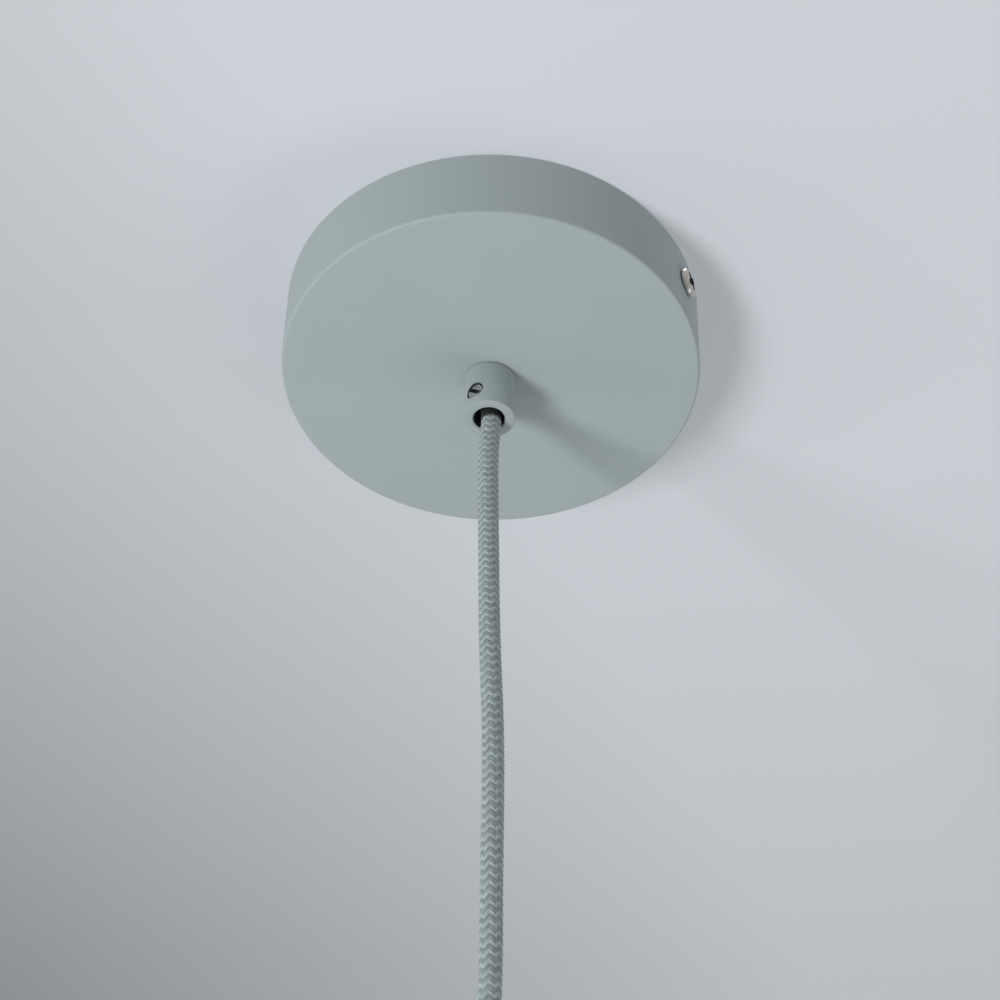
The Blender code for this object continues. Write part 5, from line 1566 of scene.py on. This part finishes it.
@dataclass
class StubFasteners:
    """Toothed lock washer and hexagon nut on a grip's stub."""

    name: str
    chamfer_angle: float = math.radians(30)
    face_margin: float = 0.0001
    teeth: int = 12
    tooth_depth: float = 0.0012
    tooth_share: float = 0.49
    twist: float = 0.00022  # lift of a tooth's corners
    bore_chamfer: float = 0.0004
    segments: int = 144

    def build(self) -> None:
        """Build the washer and the nut."""
        low, high = span(f"{self.name}_lock_washer")
        outer, columns = high.x, []
        for tooth in range(self.teeth):
            for phase in (0, 0.25, 0.5, 0.75, 1):
                angle = math.tau * (tooth + phase * self.tooth_share) / self.teeth
                lift = self.twist * (2 * phase - 1)
                edge = [(outer, low.z + lift), (outer, high.z + lift)]
                columns.append((angle, [(STUB_HOLE_RADIUS, low.z), *edge, (STUB_HOLE_RADIUS, high.z)]))
            for phase in (0.04, 0.5, 0.96):
                share = self.tooth_share + phase * (1 - self.tooth_share)
                root = outer - self.tooth_depth
                edge = [(root, low.z), (root, high.z)]
                angle = math.tau * (tooth + share) / self.teeth
                columns.append((angle, [(STUB_HOLE_RADIUS, low.z), *edge, (STUB_HOLE_RADIUS, high.z)]))
        washer = lofted(f"toothed_{self.name}_lock_washer", columns)
        fit(washer, STEEL, f"{self.name}_lock_washer")
        self.build_nut()

    def build_nut(self) -> None:
        """Nut whose corners are turned down at both faces."""
        low, high = span(f"{self.name}_nut")
        flat = high.y if high.y < high.x else high.x
        face, bore, ease = flat - self.face_margin, STUB_HOLE_RADIUS, self.bore_chamfer
        sixth, columns = math.tau / 6, []
        for segment in range(self.segments):
            angle = math.tau * segment / self.segments
            reach = flat / math.cos((angle + sixth / 2) % sixth - sixth / 2)
            drop = max(0.0, reach - face) * math.tan(self.chamfer_angle)
            side = [(face, low.z), (reach, low.z + drop), (reach, high.z - drop), (face, high.z)]
            inside = [(bore + ease, high.z), (bore, high.z - ease)]
            inside += [(bore, low.z + ease), (bore + ease, low.z)]
            columns.append((angle, side + inside))
        fit(lofted(f"chamfered_{self.name}_nut", columns), BRASS, f"{self.name}_nut")


@dataclass
class HolderShell:
    """Painted cup that covers the socket."""

    wall: float = 0.0012
    shoulder: float = 0.0030
    lip: float = 0.0003
    first_row: float = 0.006  # from its top
    row_pitch: float = 0.02
    segments: int = 160

    def build(self) -> None:
        """Build the shell."""
        low, high = span("holder_shell")
        radius, top, bottom = high.x, high.z, low.z
        centre = (radius - self.shoulder, top - self.shoulder)
        hole, inner = STUB_HOLE_RADIUS, radius - self.wall
        side = rows(radius, bottom + self.lip, top - self.first_row, self.row_pitch)
        outside = [(hole, top)] + arc(centre, self.shoulder, 90, 0, 16) + side[::-1]
        rim = [(radius - self.lip, bottom), (inner + self.lip, bottom), (inner, bottom + self.lip)]
        inside = arc(centre, self.shoulder - self.wall, 0, 90, 12) + [(hole, top - self.wall)]
        fit(turned("painted_holder_shell", outside + rim + inside, self.segments), GREY_PAINT, "holder_shell")


@dataclass
class Stirrup:
    """Folded strip between the holder's top and its socket, with two slotted screws."""

    thickness: float = STIRRUP_SHEET
    foot: float = 0.0062
    bend_radius: float = 0.0005  # inside of the folds
    edge: float = 0.0002
    slot_turns: tuple[float, float] = (0.1, 0.9)
    screw: Screw = Screw(diameter=0.003, length=0.0065, head_diameter=0.0052, head_height=0.0020,
                         pitch=0.0005)

    def build(self) -> None:
        """Build the strip and its screws."""
        low, high = span("socket_stirrup")
        thick, r = self.thickness, self.bend_radius
        outer, leg, toe = r + thick, high.x - self.foot, high.x
        shoulder, heel = (leg - outer, high.z - outer), (leg + r, low.z + outer)
        right = arc(shoulder, outer, 90, 0, 8) + arc(heel, r, 180, 270, 6)
        right += [(toe, low.z + thick), (toe, low.z)]
        right += arc(heel, outer, 270, 180, 8) + arc(shoulder, r, 0, 90, 6)
        left = [(-x, z) for x, z in reversed(right)]
        strip = folded("folded_socket_stirrup", right + left, high.y - low.y, self.edge)
        holes = [drill_along_z("stub_hole", STUB_HOLE_RADIUS, (0, 0), (high.z - 2 * thick, high.z + thick))]
        for side, turn in zip(Side, self.slot_turns):
            node = f"stirrup_screw_{side.name.lower()}"
            near, far = span(node)
            x, seat = (near.x + far.x) / 2, low.z + thick + GAP
            hole_radius = self.screw.diameter / 2 + HOLE_CLEARANCE
            holes.append(drill_along_z("foot_hole", hole_radius, (x, 0), (low.z - thick, seat + thick)))
            self.screw.build(f"slotted_{node}", STEEL, shift(x, 0, seat) @ spin(turn), node)
        fit(carve(strip, *holes), STEEL, "socket_stirrup")


@dataclass
class Socket:
    """Moulded socket with its rolled screw shell, centre contact and rivets."""

    bore_radius: float = 0.014325
    edge: float = 0.0012
    rivet_radius: float = 0.0012
    rivet_head_radius: float = 0.0017
    rivet_head_height: float = 0.0007
    thread_mid: float = 0.0127625
    thread_depth: float = 0.001125
    thread_pitch: float = 0.00362
    thread_sheet: float = 0.0004
    flange_bore: float = 0.0082
    thread_columns: int = 120
    rows_per_pitch: int = 14
    thread_sharp: float = 50.0  # degrees
    hole_segments: int = 32
    contact_thickness: float = 0.0005
    contact_width: float = 0.0050
    contact_edge: float = 0.0001
    contact_step: float = 0.0008
    contact_tip: float = 0.0022
    contact_tail: float = 0.00729
    screw_reach: float = 0.016125
    screw_length: float = 0.0065
    screw_radius: float = 0.0015

    def __post_init__(self) -> None:
        """Take the socket's heights from the model."""
        low, high = span("socket_body")
        self.radius, self.top, self.bottom = high.x, high.z, low.z
        self.floor = span("socket_thread")[1].z + GAP

    def rivet_place(self, pole: Pole) -> Vector:
        """Where a rivet's head seats."""
        low, high = span(POLE_RIVETS[pole])
        middle = (low + high) / 2
        return Vector((middle.x, middle.y, low.z + self.rivet_head_height))

    def rivet_hole(self, pole: Pole, heights: tuple[float, float]) -> bpy.types.Object:
        """Cutter for a rivet's hole."""
        radius = self.rivet_radius + HOLE_CLEARANCE
        return drill_along_z("rivet_hole", radius, self.rivet_place(pole), heights, self.hole_segments)

    def build(self) -> None:
        """Build the socket's pieces."""
        self.build_body()
        self.build_thread()
        self.build_contact()
        for pole, node in POLE_RIVETS.items():
            self.build_rivet(node, self.rivet_place(pole))

    def build_body(self) -> None:
        """Moulded body with its bore and holes."""
        outside = [(0, self.top), (self.radius, self.top), (self.radius, self.bottom)]
        inside = [(self.bore_radius, self.bottom), (self.bore_radius, self.floor), (0, self.floor)]
        body = turned("moulded_socket_body", softened(outside + inside, self.edge, 6), 128)
        holes = []
        tip, above = self.top + STIRRUP_SHEET + GAP - self.screw_length, self.top + OVERSHOOT
        for side in Side:
            place = (side.value * self.screw_reach, 0)
            holes.append(drill_along_z("screw_hole", self.screw_radius + HOLE_CLEARANCE, place, (tip, above)))
        holes += [self.rivet_hole(pole, (self.floor - OVERSHOOT, above)) for pole in POLE_RIVETS]
        fit(carve(body, *holes), INSULATOR, "socket_body")

    def build_thread(self) -> None:
        """Rolled thread of thin sheet with a flange at its top: one sheet, wound as a true helix."""
        low, high = span("socket_thread")
        length, top, mid, sheet = high.z - low.z, high.z, self.thread_mid, self.thread_sheet
        count = round(length / self.thread_pitch * self.rows_per_pitch)
        depths = [length * row / count for row in range(count + 1)]

        def wave(angle: float, depth: float) -> float:
            """Radial swing of the sheet, faded out at both ends."""
            fade = min(1.0, depth / self.thread_pitch, (length - depth) / self.thread_pitch)
            return self.thread_depth / 2 * fade * math.cos(math.tau * depth / self.thread_pitch + angle)

        columns = []
        for column in range(self.thread_columns):
            a = math.tau * column / self.thread_columns
            outline = [(self.flange_bore, top)]
            outline += [(mid + sheet + wave(a, d), top - d) for d in depths]
            outline += [(mid + wave(a, d), top - d) for d in reversed(depths[1:])]
            outline += [(mid, top - sheet), (self.flange_bore, top - sheet)]
            columns.append((a, outline))
        thread = lofted("rolled_socket_thread", columns, self.thread_sharp)
        carve(thread, self.rivet_hole(Pole.NEUTRAL, (top - 2 * OVERSHOOT, top + OVERSHOOT)))
        thread.data.set_sharp_from_angle(angle=math.radians(self.thread_sharp))
        fit(thread, BRASS, "socket_thread")

    def build_contact(self) -> None:
        """Sprung strip from its rivet to the axis, bent down to meet the lamp."""
        angle, thick = POLE_ANGLES[Pole.LIVE], self.contact_thickness
        low, high = span("centre_contact")
        place = self.rivet_place(Pole.LIVE)
        reach = math.hypot(place.x, place.y)
        heel = 2 * reach - self.contact_tail - OVERSHOOT / 2
        spine = [(self.contact_tail, high.z), (heel, high.z), (self.contact_tip, low.z + thick)]
        spine.append((-self.contact_tip, low.z + thick))
        route = smooth_route([Vector((x, 0, z)) for x, z in spine], self.contact_step)
        top = [(point.x, min(point.z, high.z)) for point in route]
        outline = top + [(x, z - thick) for x, z in reversed(top)]
        strip = folded("sprung_centre_contact", outline, self.contact_width, self.contact_edge)
        radius, heights = self.rivet_radius + HOLE_CLEARANCE, (high.z - 2 * thick, high.z + thick)
        carve(strip, drill_along_z("rivet_hole", radius, (reach, 0), heights, self.hole_segments))
        fit(moved(strip, spin(angle)), BRASS, "centre_contact")

    def build_rivet(self, node: str, place: Vector) -> None:
        """Rivet with a domed head, its shank up to the terminal on the socket."""
        head, low, length = self.rivet_head_radius, -self.rivet_head_height, self.top - place.z
        dome = [(head * x, low * z) for x, z in reversed(arc((0, 0), 1, 0, 90, 10)[:-1])]
        profile = [(0, low)] + dome + [(self.rivet_radius, 0), (self.rivet_radius, length), (0, length)]
        fit(moved(turned(f"domed_{node}", profile, 40), Matrix.Translation(place)), BRASS, node)


@dataclass
class SocketTerminals:
    """Brass terminal of each pole on the socket, with its slotted clamp screw."""

    width: float = 0.0058
    foot: float = 0.0010
    inner: float = 0.0044
    block_inner: float = 0.0088
    outer: float = 0.0150
    height: float = 0.0058
    wall: float = 0.0010
    screw_radius: float = 0.00125
    slot_share: float = 1.1  # turn of a screw's slot, as a share of its terminal's
    segments: int = 32
    edge: float = 0.0003

    def __post_init__(self) -> None:
        """Take the heights from the model."""
        self.low = span("socket_body")[1].z + GAP
        self.high, self.step = self.low + self.height, self.low + self.foot
        self.wire = (self.high + self.step) / 2

    def entry(self, pole: Pole) -> tuple[Vector, Vector]:
        """Where a core enters a terminal, and the way it runs there."""
        way = spin(POLE_ANGLES[pole]) @ Vector((1, 0, 0))
        return way * (self.block_inner + CORE_ENTRY) + Vector((0, 0, self.wire)), way

    def build(self) -> None:
        """Build both terminals and their screws."""
        middle = (self.block_inner + self.outer) / 2
        outline = [(self.inner, self.low), (self.outer, self.low), (self.outer, self.high)]
        outline += [(self.block_inner, self.high), (self.block_inner, self.step), (self.inner, self.step)]
        outline = softened(outline, self.edge, 2)
        length = self.high - self.wire - GAP
        screw = Screw(diameter=2 * self.screw_radius, length=length, head_diameter=0.0044, head_height=0.0016,
                      pitch=0.00045)
        for pole, angle in POLE_ANGLES.items():
            terminal = folded(f"sawn_socket_terminal_{pole.value}", outline, self.width, self.edge / 2)
            mouth, end = (self.block_inner - OVERSHOOT, 0, self.wire), (self.outer - self.wall, 0, self.wire)
            bore = drill("wire_bore", CORE_BORE_RADIUS, mouth, end, self.segments)
            well_radius, heights = self.screw_radius + HOLE_CLEARANCE, (self.wire, self.high + OVERSHOOT)
            well = drill_along_z("clamp_well", well_radius, (middle, 0), heights, self.segments)
            fit(moved(carve(terminal, bore, well), spin(angle)), BRASS, f"socket_terminal_{pole.value}")
            node = f"socket_clamp_screw_{pole.value}"
            place = spin(angle) @ shift(middle, 0, self.high + GAP) @ spin(self.slot_share * angle)
            screw.build(f"slotted_{node}", BRASS, place, node)


@dataclass
class EarthTag:
    """Tag under the holder's nut, with a crimp barrel folded down beside the terminals."""

    radius: float = 0.0070
    reach: float = 0.0118
    half_tongue: float = 0.0020
    barrel_edge: float = 0.0002
    barrel_segments: int = 40

    def __post_init__(self) -> None:
        """Take the height from the model."""
        self.top = span("holder_earth_tag")[1].z
        self.low = self.top - EARTH_SHEET
        self.mouth = Vector((0, self.reach, (self.low + self.top) / 2 - CRIMP_LENGTH))

    def build(self) -> None:
        """Build the tag."""
        spread = math.degrees(math.asin(self.half_tongue / self.radius))
        outline = arc((0, 0), self.radius, 90 + spread, 450 - spread, 60)
        tip = self.reach - GAP
        outline += [(self.half_tongue, tip), (-self.half_tongue, tip)]
        tag = prism("crimped_holder_earth_tag", outline, self.low, self.top)
        outline = [(0, 0), (CRIMP_RADIUS, 0), (CRIMP_RADIUS, CRIMP_LENGTH), (0, CRIMP_LENGTH)]
        barrel = turned("barrel", outline, self.barrel_segments, self.barrel_edge)
        moved(barrel, shift(*self.mouth) @ spin(math.pi / self.barrel_segments))
        heights = (self.mouth.z - OVERSHOOT, self.mouth.z + CRIMP_LENGTH / 2)
        well = drill_along_z("bore", CORE_BORE_RADIUS, self.mouth, heights, 32)
        eye = drill_along_z("eye", STUB_HOLE_RADIUS, (0, 0), (self.low - OVERSHOOT, self.top + OVERSHOOT))
        carve(carve(tag, barrel, join=True), well, eye)
        fit(tag, STEEL, "holder_earth_tag")


@dataclass
class Cores:
    """Insulated cores from both ends of the cord to their terminals, and the bracket's earth lead."""

    earth_point: EarthPoint
    block: TerminalBlock
    terminals: SocketTerminals
    tag: EarthTag
    radius: float = 0.00115
    lay_radius: float = 0.00152  # core axis from the cord's axis
    earth_dip: float = 0.0034
    dip_pulls: tuple[float, float] = (0.55, 0.5)
    steps: int = 48

    def start(self, angle: float, height: float) -> Vector:
        """Where a core leaves the cord's end, its angle in degrees."""
        return spin(math.radians(angle)) @ Vector((self.lay_radius, 0, height))

    def add(self, node: str, finish: Finish, route: list[Vector]) -> None:
        """Sweep one core."""
        fit(swept(f"insulated_{node}", route, self.radius), finish, node)

    def build(self) -> None:
        """Build all cores."""
        up, down, ahead = (0, 0, 1), (0, 0, -1), (1, 0, 0)
        top, bottom = CORD_TOP + GAP, CORD_BOTTOM - GAP
        for pole, angle, finish in ((Pole.LIVE, -60, BROWN_CORE), (Pole.NEUTRAL, 60, BLUE_CORE)):
            route = bend(self.start(angle, top), up, self.block.entry(pole), ahead, self.steps)
            self.add(f"core_{pole.value}", finish, route)
        mouth, way = self.earth_point.terminals["earth_core_terminal"].mouth()
        self.add("core_earth", EARTH_CORE, bend(self.start(180, top), up, mouth, way, self.steps))
        mouth, way = self.earth_point.terminals["earth_lead_terminal"].mouth()
        self.add("earth_lead", EARTH_CORE, bend(mouth, -way, self.block.entry(Pole.EARTH), ahead, self.steps))
        for pole, angle, finish in ((Pole.LIVE, 210, BROWN_CORE), (Pole.NEUTRAL, 330, BLUE_CORE)):
            end, way = self.terminals.entry(pole)
            route = bend(self.start(angle, bottom), down, end, way, self.steps)
            self.add(f"lower_core_{pole.value}", finish, route)
        start, end = self.start(90, bottom), self.tag.mouth + Vector((0, 0, CORE_ENTRY))
        middle = Vector((0, (start.y + end.y) / 2, bottom - self.earth_dip))
        way, steps = (0, 1, 0), self.steps // 2
        route = bend(start, down, middle, way, steps, self.dip_pulls[0])
        route += bend(middle, way, end, up, steps, self.dip_pulls[1])[1:]
        self.add("lower_core_earth", EARTH_CORE, route)


def main() -> None:
    """Build the light and its studio."""
    logging.basicConfig(level=logging.INFO, format="%(message)s")
    PhotoCamera().build()
    Studio().build()
    Cord().build()
    CanopyCup().build()
    SideScrews().build()
    CordGrip("cord_grip", GRIP_SEAT, upward=False).build()
    CordGrip("holder_grip", HOLDER_GRIP_SEAT, upward=True).build()
    for name in ("cord_grip", "holder_grip"):
        StubFasteners(name).build()
    CeilingBracket().build()
    earth_point, block, terminals, tag = EarthPoint(), TerminalBlock(), SocketTerminals(), EarthTag()
    for assembly in (earth_point, block, terminals, tag, HolderShell(), Stirrup(), Socket()):
        assembly.build()
    Cores(earth_point, block, terminals, tag).build()


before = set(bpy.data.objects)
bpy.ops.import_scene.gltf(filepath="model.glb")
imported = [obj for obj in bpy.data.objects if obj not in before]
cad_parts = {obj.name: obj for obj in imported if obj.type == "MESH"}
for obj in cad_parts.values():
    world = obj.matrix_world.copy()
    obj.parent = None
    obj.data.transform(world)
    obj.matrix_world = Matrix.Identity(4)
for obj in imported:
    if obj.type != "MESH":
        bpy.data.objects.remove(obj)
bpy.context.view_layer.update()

if __name__ == "__main__":
    main()
